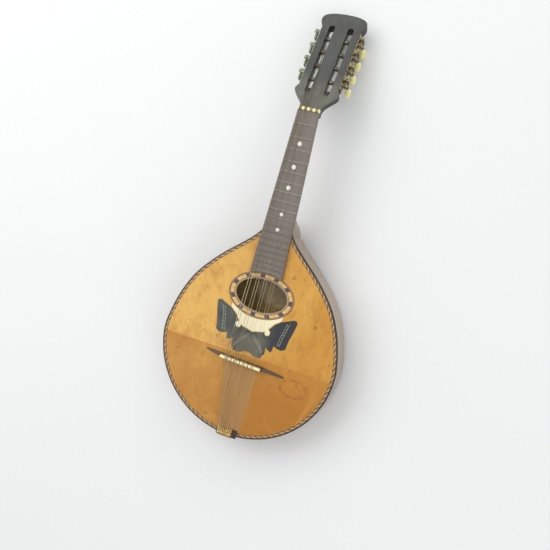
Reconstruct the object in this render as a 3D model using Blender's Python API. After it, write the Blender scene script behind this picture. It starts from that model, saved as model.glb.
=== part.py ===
"""Eight-string flat-backed mandolin, built as separate pieces with turning tuners.

Dimensions are millimetres here and are written to the mesh in metres.
Frame: origin on the outer face of the back, under the middle of the body;
+Y runs along the strings towards the head, +Z out of the soundboard.
"""
import math

import bmesh
import bpy
from mathutils import Matrix, Vector

MM = 0.001
COLLECTION = "mandolin"
G = 0.1                      # working gap between neighbouring pieces

# ---- string layout -------------------------------------------------------
SCALE = 335.0                # nut to the theoretical bridge line
Y_NUT = 312.0
Y_BRIDGE = -38.0
FRETS = 18
STRING_R = (0.46, 0.46, 0.33, 0.33, 0.2, 0.2, 0.15, 0.15)

# ---- body ----------------------------------------------------------------
Y_TAIL = -145.8
Y_JOIN = 144.2               # body end, at the twelfth fret
LOWER_HALF_W = 127.0         # lower bout is half an ellipse
LOWER_LEN = 125.0
BODY_LEN = 290.0
# half widths of the upper bout, at distances from the tail
UPPER = ((125.0, 127.0), (145.0, 124.3), (165.0, 119.4), (184.0, 112.8), (207.0, 101.4), (228.0, 85.6),
         (248.0, 66.6), (265.0, 47.4), (280.0, 31.4), (290.0, 23.2))
Z_TOP = 53.4                 # upper face of the soundboard
T_TOP = 2.8
T_BACK = 3.0
T_RIB = 2.2
BIND_W = 2.0
CANT_Y = -28.0               # the top bends here and falls to the tail
CANT = math.tan(math.radians(4.0))
HOLE_Y = 57.2
HOLE_A, HOLE_B = 37.3, 22.9
ROS_A, ROS_B = 47.3, 31.9

# ---- neck and fingerboard ------------------------------------------------
NUT_HALF = 14.9
JOIN_HALF = 21.0
Z_FB = 58.4                  # upper face of the fingerboard
NECK_END = 314.0

# ---- head ----------------------------------------------------------------
HEAD_TILT = 0.41
HEAD_Z0 = 54.9               # where the head's face meets the nut line
HEAD_T = 13.0
VENEER = 1.5
SLOT_X, SLOT_W = 13.55, 8.4
SLOT_S0, SLOT_S1 = 38.5, 144.5
HEAD_SIDE = 28.0
ROLLER_S0, ROLLER_PITCH = 55.0, 23.2
ROLLER_H = -6.5
ROLLER_R = 2.9
BORE_R = 3.2

# ---- tuner gearing -------------------------------------------------------
TEETH = 14
CENTRES = 7.5                # roller axis to worm axis
GEAR_TIP, GEAR_ROOT = 4.75, 3.75
WORM_TIP, WORM_ROOT = 3.05, 1.95
LEAD = 2 * math.pi * 4.6 / TEETH
GEAR_X = 32.6
GEAR_W = 2.8
PLATE_X0, PLATE_X1 = 28.1, 29.1
SHAFT_R = 1.4
BUTTON_H = -31.0

NAMES = ("g1", "g2", "d1", "d2", "a1", "a2", "e1", "e2")


def cant(y):
    return -max(0.0, CANT_Y - y) * CANT


def surf(y):
    return Z_TOP + cant(y)


# ---------------------------------------------------------------- mesh tools
def bm_object(name, bm, colour, origin=(0.0, 0.0, 0.0), rough=0.5, metal=0.0):
    bmesh.ops.remove_doubles(bm, verts=bm.verts, dist=1e-4)
    bmesh.ops.triangulate(bm, faces=bm.faces)
    bmesh.ops.recalc_face_normals(bm, faces=bm.faces)
    o = Vector(origin)
    for v in bm.verts:
        v.co = (v.co - o) * MM
    me = bpy.data.meshes.new(name)
    bm.to_mesh(me)
    bm.free()
    ob = bpy.data.objects.new(name, me)
    ob.location = o * MM
    home.objects.link(ob)
    ob.data.materials.append(material(name, colour, rough, metal))
    return ob


def material(name, colour, rough, metal):
    m = bpy.data.materials.new("m_" + name)
    m.use_nodes = True
    b = m.node_tree.nodes["Principled BSDF"]
    b.inputs["Base Color"].default_value = (colour[0], colour[1], colour[2], 1.0)
    b.inputs["Roughness"].default_value = rough
    b.inputs["Metallic"].default_value = metal
    m.diffuse_color = (colour[0], colour[1], colour[2], 1.0)
    return m


def loft(rings, closed=False, bm=None):
    """Skin equal-length closed rings; caps both ends unless the rings close on themselves."""
    bm = bm or bmesh.new()
    vs = [[bm.verts.new(p) for p in r] for r in rings]
    n = len(rings[0])
    last = len(vs) if closed else len(vs) - 1
    for i in range(last):
        a, b = vs[i], vs[(i + 1) % len(vs)]
        for k in range(n):
            bm.faces.new((a[k], a[(k + 1) % n], b[(k + 1) % n], b[k]))
    if not closed:
        bm.faces.new(vs[0][::-1])
        bm.faces.new(vs[-1])
    bmesh.ops.recalc_face_normals(bm, faces=bm.faces)
    return bm


def prism(poly, place):
    """poly is a list of 2-D points; place(p, k) gives the point on end k (0 or 1)."""
    return loft([[place(p, 0) for p in poly], [place(p, 1) for p in poly]])


def box(x0, x1, y0, y1, z0, z1, bm=None):
    return loft([[(x0, y0, z), (x1, y0, z), (x1, y1, z), (x0, y1, z)] for z in (z0, z1)], bm=bm)


def circle(n, r, phase=0.0):
    return [(r * math.cos(phase + 2 * math.pi * k / n), r * math.sin(phase + 2 * math.pi * k / n)) for k in range(n)]


def boolean(a, b, op):
    """Exact boolean of two bmeshes through throwaway objects; returns a new bmesh."""
    obs = []
    for bm in (a, b):
        bmesh.ops.triangulate(bm, faces=bm.faces)
        bmesh.ops.recalc_face_normals(bm, faces=bm.faces)
        me = bpy.data.meshes.new("tmp")
        bm.to_mesh(me)
        bm.free()
        ob = bpy.data.objects.new("tmp", me)
        home.objects.link(ob)
        obs.append(ob)
    m = obs[0].modifiers.new("cut", "BOOLEAN")
    m.operation = op
    m.solver = "EXACT"
    m.object = obs[1]
    bpy.context.view_layer.update()
    dg = bpy.context.evaluated_depsgraph_get()
    me = bpy.data.meshes.new_from_object(obs[0].evaluated_get(dg))
    out = bmesh.new()
    out.from_mesh(me)
    for ob in obs:
        bpy.data.objects.remove(ob)
    bmesh.ops.dissolve_degenerate(out, edges=out.edges, dist=1e-4)
    return out


def moved(bm, fn):
    for v in bm.verts:
        v.co = Vector(fn(*v.co))
    return bm


def sweep(path, r, n=6):
    rings = []
    pts = [Vector(p) for p in path]
    for i, p in enumerate(pts):
        t = (pts[min(i + 1, len(pts) - 1)] - pts[max(i - 1, 0)]).normalized()
        side = t.cross(Vector((0, 0, 1))).normalized()
        up = side.cross(t)
        rings.append([tuple(p + side * c + up * s) for c, s in circle(n, r)])
    return loft(rings)


# ------------------------------------------------------------------- outline
def catmull(pts, steps):
    ext = [(2 * pts[0][0] - pts[1][0], pts[1][1])] + list(pts) + \
          [(2 * pts[-1][0] - pts[-2][0], 2 * pts[-1][1] - pts[-2][1])]
    out = []
    for i in range(1, len(ext) - 2):
        p0, p1, p2, p3 = ext[i - 1:i + 3]
        for s in range(steps):
            t = s / steps
            out.append(tuple(0.5 * (2 * p1[k] + (p2[k] - p0[k]) * t + (2 * p0[k] - 5 * p1[k] + 4 * p2[k] - p3[k]) * t * t
                                    + (3 * p1[k] - p0[k] - 3 * p2[k] + p3[k]) * t ** 3) for k in range(2)))
    out.append(tuple(ext[-2]))
    return out


def half_outline():
    """Treble half of the body edge, tail to neck joint, as (x, y)."""
    bend = math.acos(1 - (CANT_Y - Y_TAIL) / LOWER_LEN)
    pts = []
    n = 12
    for k in range(n + 1):
        a = bend * k / n
        pts.append((LOWER_HALF_W * math.sin(a), Y_TAIL + LOWER_LEN * (1 - math.cos(a))))
    pts += [(w, Y_TAIL + u) for u, w in catmull(UPPER, 2)]
    return pts


HALF = half_outline()


def offset(d):
    """HALF moved inwards by d, kept on its own side of the centre line."""
    out = []
    m = len(HALF)
    for i, (x, y) in enumerate(HALF):
        if i == 0:
            tx, ty = 1.0, 0.0
        else:
            ax, ay = HALF[i - 1]
            bx, by = HALF[min(i + 1, m - 1)]
            tx, ty = bx - ax, by - ay
        ln = math.hypot(tx, ty)
        out.append((x - d * ty / ln, y + d * tx / ln))
    x1, y1 = out[-1]
    x0, y0 = out[-2]
    f = (Y_JOIN - y0) / (y1 - y0)
    out[-1] = (x0 + (x1 - x0) * f, Y_JOIN)
    return out


def full(d, top=0.0):
    """Closed outline, moved in by d at the sides and by top at the neck joint."""
    h = offset(d)
    if top:
        h[-1] = (h[-1][0], Y_JOIN - top)
    return h + [(0.0, h[-1][1])] + [(-x, y) for x, y in h[:0:-1]]


def half_width(y, d=0.0):
    h = offset(d)
    for (x0, y0), (x1, y1) in zip(h, h[1:]):
        if y0 <= y <= y1:
            return x0 + (x1 - x0) * (y - y0) / (y1 - y0)
    return h[-1][0]


# ------------------------------------------------------------------ scene
for ob in list(bpy.data.objects):
    bpy.data.objects.remove(ob)
home = bpy.data.collections.new(COLLECTION)
bpy.context.scene.collection.children.link(home)

SPRUCE = (0.62, 0.36, 0.12)
MAHOGANY = (0.16, 0.07, 0.035)
INNER = (0.5, 0.34, 0.17)
BLACK = (0.02, 0.018, 0.018)
BONE = (0.78, 0.66, 0.40)
BRASS = (0.42, 0.28, 0.13)
STEEL = (0.52, 0.50, 0.47)
EBONY = (0.13, 0.11, 0.10)


# ------------------------------------------------------------------ body shell
def make_soundboard():
    outer = full(BIND_W + G)
    inner = []
    for x, y in outer:
        dx, dy = x, y - HOLE_Y
        k = 1 / math.hypot(dx / HOLE_A, dy / HOLE_B)
        inner.append((dx * k, HOLE_Y + dy * k))
    z0, z1 = Z_TOP - T_TOP, Z_TOP
    rings = [[(x, y, z) for x, y in ring] for ring, z in ((outer, z0), (outer, z1), (inner, z1), (inner, z0))]
    bm = loft(rings, closed=True)
    geom = list(bm.verts) + list(bm.edges) + list(bm.faces)
    bmesh.ops.bisect_plane(bm, geom=geom, plane_co=(0, CANT_Y, 0), plane_no=(0, 1, 0), dist=1e-4)
    moved(bm, lambda x, y, z: (x, y, z + cant(y)))
    bm_object("soundboard", bm, SPRUCE, rough=0.3)


def strip(d0, d1, z0, z1, sides):
    """Edge strip between offsets d0 and d1 along one or both halves."""
    a, b = offset(d0), offset(d1)
    if sides == "both":
        pa = [(-x, y) for x, y in a[:0:-1]] + a
        pb = [(-x, y) for x, y in b[:0:-1]] + b
    else:
        s = 1 if sides == "treble" else -1
        a = [(max(x, G), y) for x, y in a]
        b = [(max(x, G), y) for x, y in b]
        pa = [(s * x, y) for x, y in a]
        pb = [(s * x, y) for x, y in b]
    return loft([[(p[0], p[1], z0(p[1])), (p[0], p[1], z1(p[1])), (q[0], q[1], z1(q[1])), (q[0], q[1], z0(q[1]))]
                 for p, q in zip(pa, pb)])


make_soundboard()
bm_object("edge_binding", strip(0.0, BIND_W, lambda y: surf(y) - T_TOP, surf, "both"), BLACK, rough=0.4)
for side in ("bass", "treble"):
    bm_object("rib_" + side, strip(0.0, T_RIB, lambda y: T_BACK + G, lambda y: surf(y) - T_TOP - G, side),
              MAHOGANY, rough=0.25)
bm_object("back", prism(full(0.0), lambda p, k: (p[0], p[1], k * T_BACK)), MAHOGANY, rough=0.3)

inside = offset(T_RIB + 0.3)
low = [p for p in inside if p[1] >= 125.0]
poly = [(half_width(122.0, T_RIB + 0.3), 122.0)] + low[:-1] + [(low[-1][0], Y_JOIN)]
poly = poly + [(-x, y) for x, y in poly[::-1]]
bm_object("neck_block", prism(poly, lambda p, k: (p[0], p[1], T_BACK + G if k == 0 else Z_TOP - T_TOP - G)), INNER)
low = [p for p in inside if p[1] <= -131.0]
poly = low + [(half_width(-129.0, T_RIB + 0.3), -129.0)]
poly = poly + [(-x, y) for x, y in poly[:0:-1]]
bm_object("tail_block", prism(poly, lambda p, k: (p[0], p[1], T_BACK + G if k == 0 else surf(p[1]) - T_TOP - G)), INNER)


def brace(name, y, w, h, top):
    lim = min(half_width(y - w / 2, T_RIB + 0.4), half_width(y + w / 2, T_RIB + 0.4))
    rings = []
    for x, hh in ((-lim, 0.3 * h), (-lim + 22, h), (lim - 22, h), (lim, 0.3 * h)):
        ring = []
        for yy, far in ((y - w / 2, 0), (y + w / 2, 0), (y + w / 2, 1), (y - w / 2, 1)):
            z = (surf(yy) - T_TOP - G - far * hh) if top else (T_BACK + G + far * hh)
            ring.append((x, yy, z))
        rings.append(ring)
    bm_object(name, loft(rings), INNER)


for i, y in enumerate((97.0, 20.0, -62.0)):
    brace("top_brace_%d" % (i + 1), y, 6.0, 9.0, True)
for i, y in enumerate((95.0, 0.0, -82.0)):
    brace("back_brace_%d" % (i + 1), y, 7.0, 9.0, False)


def ellipse(n, a, b, z):
    return [(x * a, HOLE_Y + y * b, z) for x, y in circle(n, 1.0)]


bm_object("rosette", loft([ellipse(48, HOLE_A + 0.2, HOLE_B + 0.2, Z_TOP + 0.04), ellipse(48, HOLE_A + 0.2, HOLE_B + 0.2, Z_TOP + 0.3),
                           ellipse(48, ROS_A, ROS_B, Z_TOP + 0.3), ellipse(48, ROS_A, ROS_B, Z_TOP + 0.04)], closed=True),
          (0.55, 0.38, 0.16), rough=0.35)

# ------------------------------------------------------------------ pickguard
WING = ((0.0, -22.5), (5.0, -22.6), (9.0, -25.6), (15.0, -26.6), (20.5, -26.0), (21.6, -21.8), (24.3, -19.5), (24.6, -14.5),
        (23.8, -9.4), (29.0, -12.6), (33.2, -13.4), (34.4, -4.4), (41.0, -6.8), (46.5, -7.2), (51.4, -4.0), (52.2, 3.0),
        (53.2, 9.6), (56.2, 20.5), (58.8, 33.6), (57.4, 36.8), (53.6, 37.4), (44.0, 33.2), (37.0, 30.2), (28.9, 24.0),
        (22.2, 14.8), (16.2, 9.4), (7.2, 7.6), (0.0, 5.6))
EDGE = ((37.0, 31.2), (28.2, 24.6), (21.6, 15.6), (15.8, 10.2), (7.1, 8.4), (0.0, 6.4))


def both(half):
    return list(half) + [(-x, y) for x, y in half[::-1] if x > 0.01]


poly = [p for p in WING]
poly = poly + [(-x, y) for x, y in poly[::-1] if x > 0.01]
bm_object("pickguard_wings", prism(poly, lambda p, k: (p[0], p[1], Z_TOP + (0.05, 0.55)[k])), BLACK, rough=0.2)
top = []
for k in range(9):
    x = 37.5 * k / 8
    top.append((x, HOLE_Y - (ROS_B + 0.4) * math.sqrt(1 - (x / (ROS_A + 0.4)) ** 2)))
poly = top + list(EDGE)
poly = poly + [(-x, y) for x, y in poly[::-1] if x > 0.01]
bm_object("pickguard_body", prism(poly, lambda p, k: (p[0], p[1], Z_TOP + (0.05, 0.55)[k])), BONE, rough=0.35)


# ------------------------------------------------------------------ neck
def neck_half(y):
    return NUT_HALF + (JOIN_HALF - NUT_HALF) * (Y_NUT - y) / (SCALE / 2)


def head(x, s, h):
    c, n = math.cos(HEAD_TILT), math.sin(HEAD_TILT)
    return (x, Y_NUT + s * c + h * n, HEAD_Z0 - s * n + h * c)


HEAD_HALF = ((0.6, 14.6), (5.0, 14.6), (9.0, 15.6), (14.0, 18.4), (19.5, 23.0), (24.5, 27.2), (28.5, 30.2), (32.5, 31.2),
             (36.0, 30.0), (39.5, HEAD_SIDE), (138.0, HEAD_SIDE), (142.0, 28.8), (146.0, 30.8), (150.0, 32.3), (154.0, 32.8),
             (157.8, 32.0), (161.2, 29.2), (164.2, 23.4), (166.4, 13.4), (167.2, 0.0))


def head_poly(s0, scoop=0.0):
    """Outline of the head from s0 up; scoop draws the ears and throat in."""
    right = [(x - scoop * max(0.0, min(1.0, (40.0 - s) / 16.0)) * max(0.0, min(1.0, (s - 4.0) / 14.0)), s) for s, x in HEAD_HALF if s > s0]
    right = [(14.6, s0)] + right
    return right + [(-x, s) for x, s in right[::-1] if x > 0.01]


def slot_cutter():
    bm = bmesh.new()
    r = SLOT_W / 2
    for sx in (-1, 1):
        poly = [(sx * SLOT_X + r * math.cos(a), SLOT_S1 - r + r * math.sin(a)) for a in (math.pi * k / 6 for k in range(7))]
        poly += [(sx * SLOT_X - r * math.cos(a), SLOT_S0 + r - r * math.sin(a)) for a in (math.pi * k / 6 for k in range(7))]
        loft([[head(x, s, h) for x, s in poly] for h in (-20.0, 5.0)], bm=bm)
    return bm


def ramp_cutter():
    """Sloping lead-in for the strings at the nut end of each slot."""
    bm = bmesh.new()
    for sx in (-1, 1):
        loft([[head(sx * SLOT_X + x, s, h) for s, h in ((25.0, 4.0), (25.0, 0.1), (SLOT_S0 + 3.0, -4.4), (SLOT_S0 + 3.0, 4.0))]
              for x in (-3.7, 3.7)], bm=bm)
    return bm


def bore_cutter():
    bm = bmesh.new()
    for i in range(4):
        for sx in (-1, 1):
            ring = circle(16, BORE_R)
            loft([[head(sx * x, ROLLER_S0 + ROLLER_PITCH * i + u, ROLLER_H + v) for u, v in ring] for x in (5.0, 31.0)], bm=bm)
    return bm


# stations of the neck: y, depth, half width at the top, half width low down, roundness (small is square)
NECK = ((Y_JOIN + 0.3, 53.1, 22.9, 23.4, 0.24), (148.5, 53.0, 21.4, 22.2, 0.24), (153.0, 52.7, 20.4, 20.6, 0.26), (157.5, 52.2, 20.0, 18.6, 0.29),
        (161.5, 51.2, 19.8, 16.3, 0.34), (165.0, 49.4, 19.6, 13.9, 0.42), (168.0, 46.4, 19.4, 12.0, 0.54), (170.2, 41.0, 19.3, 11.6, 0.66),
        (172.6, 34.4, 19.1, 12.8, 0.78), (175.6, 28.4, 18.9, 15.2, 0.88), (179.5, 23.4, 18.7, 17.4, 0.96), (184.5, 20.3, 18.4, 18.2, 1.0),
        (191.0, 18.6, 18.6, 18.6, 1.0), (230.0, 17.0, 17.3, 17.3, 1.0), (270.0, 15.9, 15.9, 15.9, 1.0), (300.0, 15.2, 14.8, 14.8, 1.0),
        (NECK_END, 14.4, 14.3, 14.3, 1.0))


def neck_ring(y, depth, w_top, w_low, e):
    zt = Z_TOP - G
    ring = [(w_top, y, zt)]
    for k in range(15):
        a = math.pi * k / 14
        c, f = math.cos(a), math.sin(a) ** e if 0 < k < 14 else 0.0
        ring.append(((w_top + (w_low - w_top) * f) * (abs(c) ** e) * (1 if c >= 0 else -1), y, zt - 1.5 - (depth - 1.5) * f))
    ring.append((-w_top, y, zt))
    return ring


shaft = loft([neck_ring(*row) for row in NECK])
core = loft([[head(x, s, h) for x, s in head_poly(0.6, k)] for h, k in ((-HEAD_T, 4.0), (-HEAD_T + 5.0, 0.8), (-VENEER - G, 0.0))])
neck = boolean(shaft, core, "UNION")
neck = boolean(neck, slot_cutter(), "DIFFERENCE")
neck = boolean(neck, ramp_cutter(), "DIFFERENCE")
neck = boolean(neck, bore_cutter(), "DIFFERENCE")
bm_object("neck", neck, MAHOGANY, rough=0.3)

ven = loft([[head(x, s, h) for x, s in head_poly(4.9)] for h in (-VENEER, 0.0)])
ven = boolean(ven, slot_cutter(), "DIFFERENCE")
bm_object("head_veneer", boolean(ven, ramp_cutter(), "DIFFERENCE"), BLACK, rough=0.2)

# ------------------------------------------------------------------ fingerboard with its frets
FB_Y0 = 311.5


def fb_end(x):
    return HOLE_Y + (ROS_B + 0.5) * math.sqrt(1 - (x / (ROS_A + 0.5)) ** 2)


xe = neck_half(86.0)
poly = [(neck_half(FB_Y0), FB_Y0)] + [(xe * (1 - k / 4), fb_end(xe * (1 - k / 4))) for k in range(9)] + [(-neck_half(FB_Y0), FB_Y0)]
board = prism(poly, lambda p, k: (p[0], p[1], (Z_TOP + G, Z_FB)[k]))
bars = bmesh.new()
for n in range(1, FRETS + 1):
    y = Y_NUT - SCALE * (1 - 2 ** (-n / 12))
    w = neck_half(y) - 0.25
    loft([[(x, y + dy, z) for dy, z in ((-0.65, Z_FB - 0.5), (0.65, Z_FB - 0.5), (0.65, Z_FB + 0.35), (0.3, Z_FB + 0.85),
                                        (-0.3, Z_FB + 0.85), (-0.65, Z_FB + 0.35))] for x in (-w, w)], bm=bars)
bm_object("fingerboard", boolean(board, bars, "UNION"), EBONY, rough=0.5)


# ------------------------------------------------------------------ string positions
def course(centre, pitch, pair):
    return [centre + (c - 1.5) * pitch + (k - 0.5) * pair for c in range(4) for k in range(2)]


X_AT_NUT = course(0.0, 7.6, 2.7)
X_AT_BRIDGE = course(-3.4, 12.6, 4.2)
X_AT_TAIL = [-12.6 + 2.5 * i for i in range(8)]
Z_NUT_SLOT = 59.7
Z_SADDLE = 64.0
NUT_Y0, NUT_Y1 = 311.6, 316.1

nut = loft([[(x, y, z) for y, z in ((NUT_Y0, Z_TOP + 0.1), (NUT_Y1, Z_TOP + 0.1), (NUT_Y1, 59.4), (NUT_Y1 - 1.2, 60.5),
                                    (NUT_Y0 + 0.6, 60.6), (NUT_Y0, 60.1))] for x in (-NUT_HALF, NUT_HALF)])
cut = bmesh.new()
for x, r in zip(X_AT_NUT, STRING_R):
    box(x - r - 0.25, x + r + 0.25, NUT_Y0 - 1, NUT_Y1 + 1, Z_NUT_SLOT - 0.7, 62.0, bm=cut)
bm_object("nut", boolean(nut, cut, "DIFFERENCE"), BONE, rough=0.35)


# ------------------------------------------------------------------ bridge
B0, B1 = -57.5, 59.5
SADDLE0, SADDLE1 = -33.2, 27.0
# the bridge stands a little aslant: its middle line as (x, y)
BRIDGE_LINE = ((B0, -34.6), (SADDLE0, -37.3), (-3.0, -38.6), (SADDLE1, -39.8), (B1, -42.2))


def bridge_y(x):
    for (x0, y0), (x1, y1) in zip(BRIDGE_LINE, BRIDGE_LINE[1:]):
        if x <= x1:
            return y0 + (y1 - y0) * (x - x0) / (x1 - x0)
    return BRIDGE_LINE[-1][1]


def bridge_ring(x, h, w0, w1):
    yb = bridge_y(x)
    ys = ((yb - w0 / 2, 0), (yb + w0 / 2, 0), (yb + w1 / 2, 1), (yb - w1 / 2, 1))
    return [(x, y, surf(y) + 0.12 if k == 0 else surf(Y_BRIDGE) + h) for y, k in ys]


bm_object("bridge", loft([bridge_ring(x, h, a, b) for x, h, a, b in (
    (B0, 1.4, 1.8, 1.0), (B0 + 4.0, 2.3, 3.0, 1.8), (B0 + 14.0, 3.0, 4.4, 2.8), (SADDLE0 - 1.5, 4.8, 5.6, 4.2), (SADDLE0, 7.8, 6.2, 4.8),
    (-3.0, 7.8, 6.2, 4.8), (SADDLE1, 7.8, 6.2, 4.8), (SADDLE1 + 1.5, 4.8, 5.6, 4.2), (B1 - 14.0, 3.0, 4.4, 2.8), (B1 - 4.0, 2.3, 3.0, 1.8),
    (B1, 1.4, 1.8, 1.0))]), (0.05, 0.03, 0.028), rough=0.3)
zb = surf(Y_BRIDGE) + 7.9
bm_object("bridge_saddle", loft([[(x, bridge_y(x) + y, z) for y, z in ((-1.9, zb), (1.9, zb), (1.9, Z_SADDLE - 0.7), (0.5, Z_SADDLE),
                                                                       (-0.5, Z_SADDLE), (-1.9, Z_SADDLE - 0.7))]
                                 for x in (SADDLE0 + 0.4, -3.0, SADDLE1 - 0.4)]), BONE, rough=0.4)

# ------------------------------------------------------------------ tail fittings
HOOK_Y = -142.2
TP_X0, TP_X1 = -15.0, 7.2
# ebony edge strip under the plate, with a raised button at its treble end
bm_object("tail_saddle", loft([[(x, y, surf(y) + dz) for y, dz in ((y0, 0.12), (y1, 0.12), (y1 - 0.4, h), (y0 + 0.4, h + 0.2))]
                               for x, y0, y1, h in ((-16.6, -146.6, -141.6, 1.5), (7.5, -146.6, -141.6, 1.5), (7.9, -147.0, -136.4, 4.2),
                                                    (13.9, -147.0, -136.4, 4.2))]), BLACK, rough=0.3)
prof = [(y, surf(y) + dz) for y, dz in ((-136.6, 2.3), (-147.6, 2.3))] + [(-147.6, 27.0), (-148.6, 27.0)] + \
       [(y, surf(y) + dz) for y, dz in ((-148.6, 3.0), (-148.2, 3.4), (-136.6, 3.4))]
plate = loft([[(x, y, z) for y, z in prof] for x in (TP_X0, TP_X1)])
pegs = bmesh.new()
for x in X_AT_TAIL:
    loft([[(x + a, HOOK_Y + b, z) for a, b in circle(8, 0.85)] for z in (surf(HOOK_Y) + 2.8, surf(HOOK_Y) + 6.2)], bm=pegs)
bm_object("tailpiece", boolean(plate, pegs, "UNION"), (0.62, 0.45, 0.2), rough=0.3, metal=1.0)
bm_object("end_button", loft([[(a, y, 17.0 + b) for a, b in circle(16, r)] for y, r in (
    (Y_TAIL - 0.15, 4.6), (-147.6, 4.6), (-148.4, 3.2), (-151.0, 3.0), (-153.0, 5.0), (-155.6, 5.2), (-157.0, 3.6))]), BLACK, rough=0.3)

# ------------------------------------------------------------------ strings
ROLLER_FOR = ((0, -15.6), (1, -13.6), (2, -13.0), (3, -14.2))
for i, name in enumerate(NAMES):
    r = STRING_R[i]
    k, xr = ROLLER_FOR[i] if i < 4 else ROLLER_FOR[7 - i]
    if i >= 4:
        xr = -xr
    s = ROLLER_S0 + ROLLER_PITCH * k
    zn = Z_NUT_SLOT + r
    zt = surf(HOOK_Y) + 4.4
    yb = bridge_y(X_AT_BRIDGE[i])
    path = [(X_AT_TAIL[i], HOOK_Y + 1.4, zt), (X_AT_BRIDGE[i], yb - 1.0, Z_SADDLE + 0.1 + r), (X_AT_BRIDGE[i], yb + 1.0, Z_SADDLE + 0.1 + r),
            (X_AT_NUT[i], NUT_Y0 + 0.6, zn + 0.05), (X_AT_NUT[i], NUT_Y1 - 0.8, zn), head(xr, s - 1.5, ROLLER_H + ROLLER_R + 0.45 + r),
            head(xr, s + 0.8, ROLLER_H + ROLLER_R + 0.3 + r)]
    bm_object("string_" + name, sweep(path, r), STEEL if i > 3 else (0.5, 0.38, 0.26), rough=0.3, metal=1.0)


# ------------------------------------------------------------------ tuners
def gear_outline():
    pts = []
    for k in range(TEETH):
        a = 2 * math.pi * (k + 0.5) / TEETH
        for da, r in ((-0.148, GEAR_ROOT), (-0.055, GEAR_TIP), (0.055, GEAR_TIP), (0.148, GEAR_ROOT)):
            pts.append((r * math.cos(a + da), r * math.sin(a + da)))
    return pts


def roller_bm(sx, s):
    """Roller, hub and gear as one piece; (u, v) are along the head and out of its face."""
    def at(x, u, v):
        return head(sx * x, s + u, ROLLER_H + v)
    axle = loft([[at(x, u, v) for u, v in circle(16, r)] for x, r in (
        (5.4, ROLLER_R), (GEAR_X - GEAR_W / 2 + 0.4, ROLLER_R), (GEAR_X - GEAR_W / 2 + 0.5, 1.7), (GEAR_X + GEAR_W / 2 + 0.8, 1.7))])
    gear = loft([[at(x, u, v) for u, v in gear_outline()] for x in (GEAR_X - GEAR_W / 2, GEAR_X + GEAR_W / 2)])
    return boolean(axle, gear, "UNION")


def worm_bm(sx, s):
    seg = 12

    def at(u, v, h):
        return head(sx * GEAR_X + u, s + CENTRES + v, ROLLER_H + h)
    rings = []
    for h in (-22.6, -3.4):
        rings.append([at(u, v, h) for u, v in circle(seg, SHAFT_R)])
    m = 17
    for k in range(m):
        h = -2.75 + 5.5 * k / (m - 1)
        ring = []
        for j in range(seg):
            a = 2 * math.pi * j / seg
            d = h - LEAD * (a + math.pi / 2) / (2 * math.pi)
            d = abs((d + LEAD / 2) % LEAD - LEAD / 2)
            f = min(1.0, max(0.0, (0.55 - d) / 0.35))
            r = WORM_ROOT + (WORM_TIP - WORM_ROOT) * f
            ring.append(at(r * math.cos(a), r * math.sin(a), h))
        rings.append(ring)
    for h in (3.4, 6.3):
        rings.append([at(u, v, h) for u, v in circle(seg, SHAFT_R)])
    return loft(rings)


def button_bm(sx, s):
    """Oval grip, long way along the head, with a blind socket for the shaft."""
    def at(u, v, h):
        return head(sx * GEAR_X + u, s + CENTRES + v, h)
    grip = loft([[at(u * a, v * b, BUTTON_H + h) for u, v in circle(14, 1.0)] for h, a, b in (
        (9.2, 2.6, 2.6), (6.4, 2.9, 3.0), (4.6, 3.7, 5.2), (1.5, 4.3, 6.4), (-2.5, 4.3, 6.6), (-6.0, 3.6, 5.4), (-7.6, 2.3, 3.4))])
    sock = loft([[at(u, v, h) for u, v in circle(12, SHAFT_R + 0.15)] for h in (-29.6, BUTTON_H + 12.0)])
    return boolean(grip, sock, "DIFFERENCE")


def plate_bm(sx):
    def at(x, s, h):
        return head(sx * x, s, h)

    def block(x0, x1, s0, s1, h0, h1, bm=None):
        return loft([[at(x, s, h) for x, s in ((x0, s0), (x1, s0), (x1, s1), (x0, s1))] for h in (h0, h1)], bm=bm)
    base = block(PLATE_X0, PLATE_X1, 44.5, 138.5, -12.2, -0.9)
    lugs = bmesh.new()
    holes = bmesh.new()
    for i in range(4):
        s = ROLLER_S0 + ROLLER_PITCH * i
        for h0, h1 in ((-12.0, -10.8), (-2.3, -1.1)):
            block(PLATE_X0 + 0.5, GEAR_X + 3.0, s + CENTRES - 2.8, s + CENTRES + 2.8, h0, h1, bm=lugs)
        loft([[at(x, s + u, ROLLER_H + v) for u, v in circle(16, BORE_R)] for x in (PLATE_X0 - 1, PLATE_X1 + 1)], bm=holes)
        loft([[at(GEAR_X + u, s + CENTRES + v, h) for u, v in circle(12, SHAFT_R + 0.35)] for h in (-14.0, 1.0)], bm=holes)
    return boolean(boolean(base, lugs, "UNION"), holes, "DIFFERENCE")


for sx, side in ((-1, "bass"), (1, "treble")):
    bm_object("tuner_plate_" + side, plate_bm(sx), BRASS, rough=0.4, metal=1.0)
for i, name in enumerate(NAMES):
    sx = -1 if i < 4 else 1
    k = ROLLER_FOR[i][0] if i < 4 else ROLLER_FOR[7 - i][0]
    s = ROLLER_S0 + ROLLER_PITCH * k
    bm_object("roller_" + name, roller_bm(sx, s), BRASS, head(sx * GEAR_X, s, ROLLER_H), 0.4, 1.0)
    axis = head(sx * GEAR_X, s + CENTRES, ROLLER_H)
    bm_object("worm_" + name, worm_bm(sx, s), BRASS, axis, 0.4, 1.0)
    bm_object("button_" + name, button_bm(sx, s), (0.72, 0.52, 0.2), axis, 0.3)

bpy.context.view_layer.update()
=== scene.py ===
import math

import bmesh
import bpy
from mathutils import Matrix, Quaternion, Vector


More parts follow.
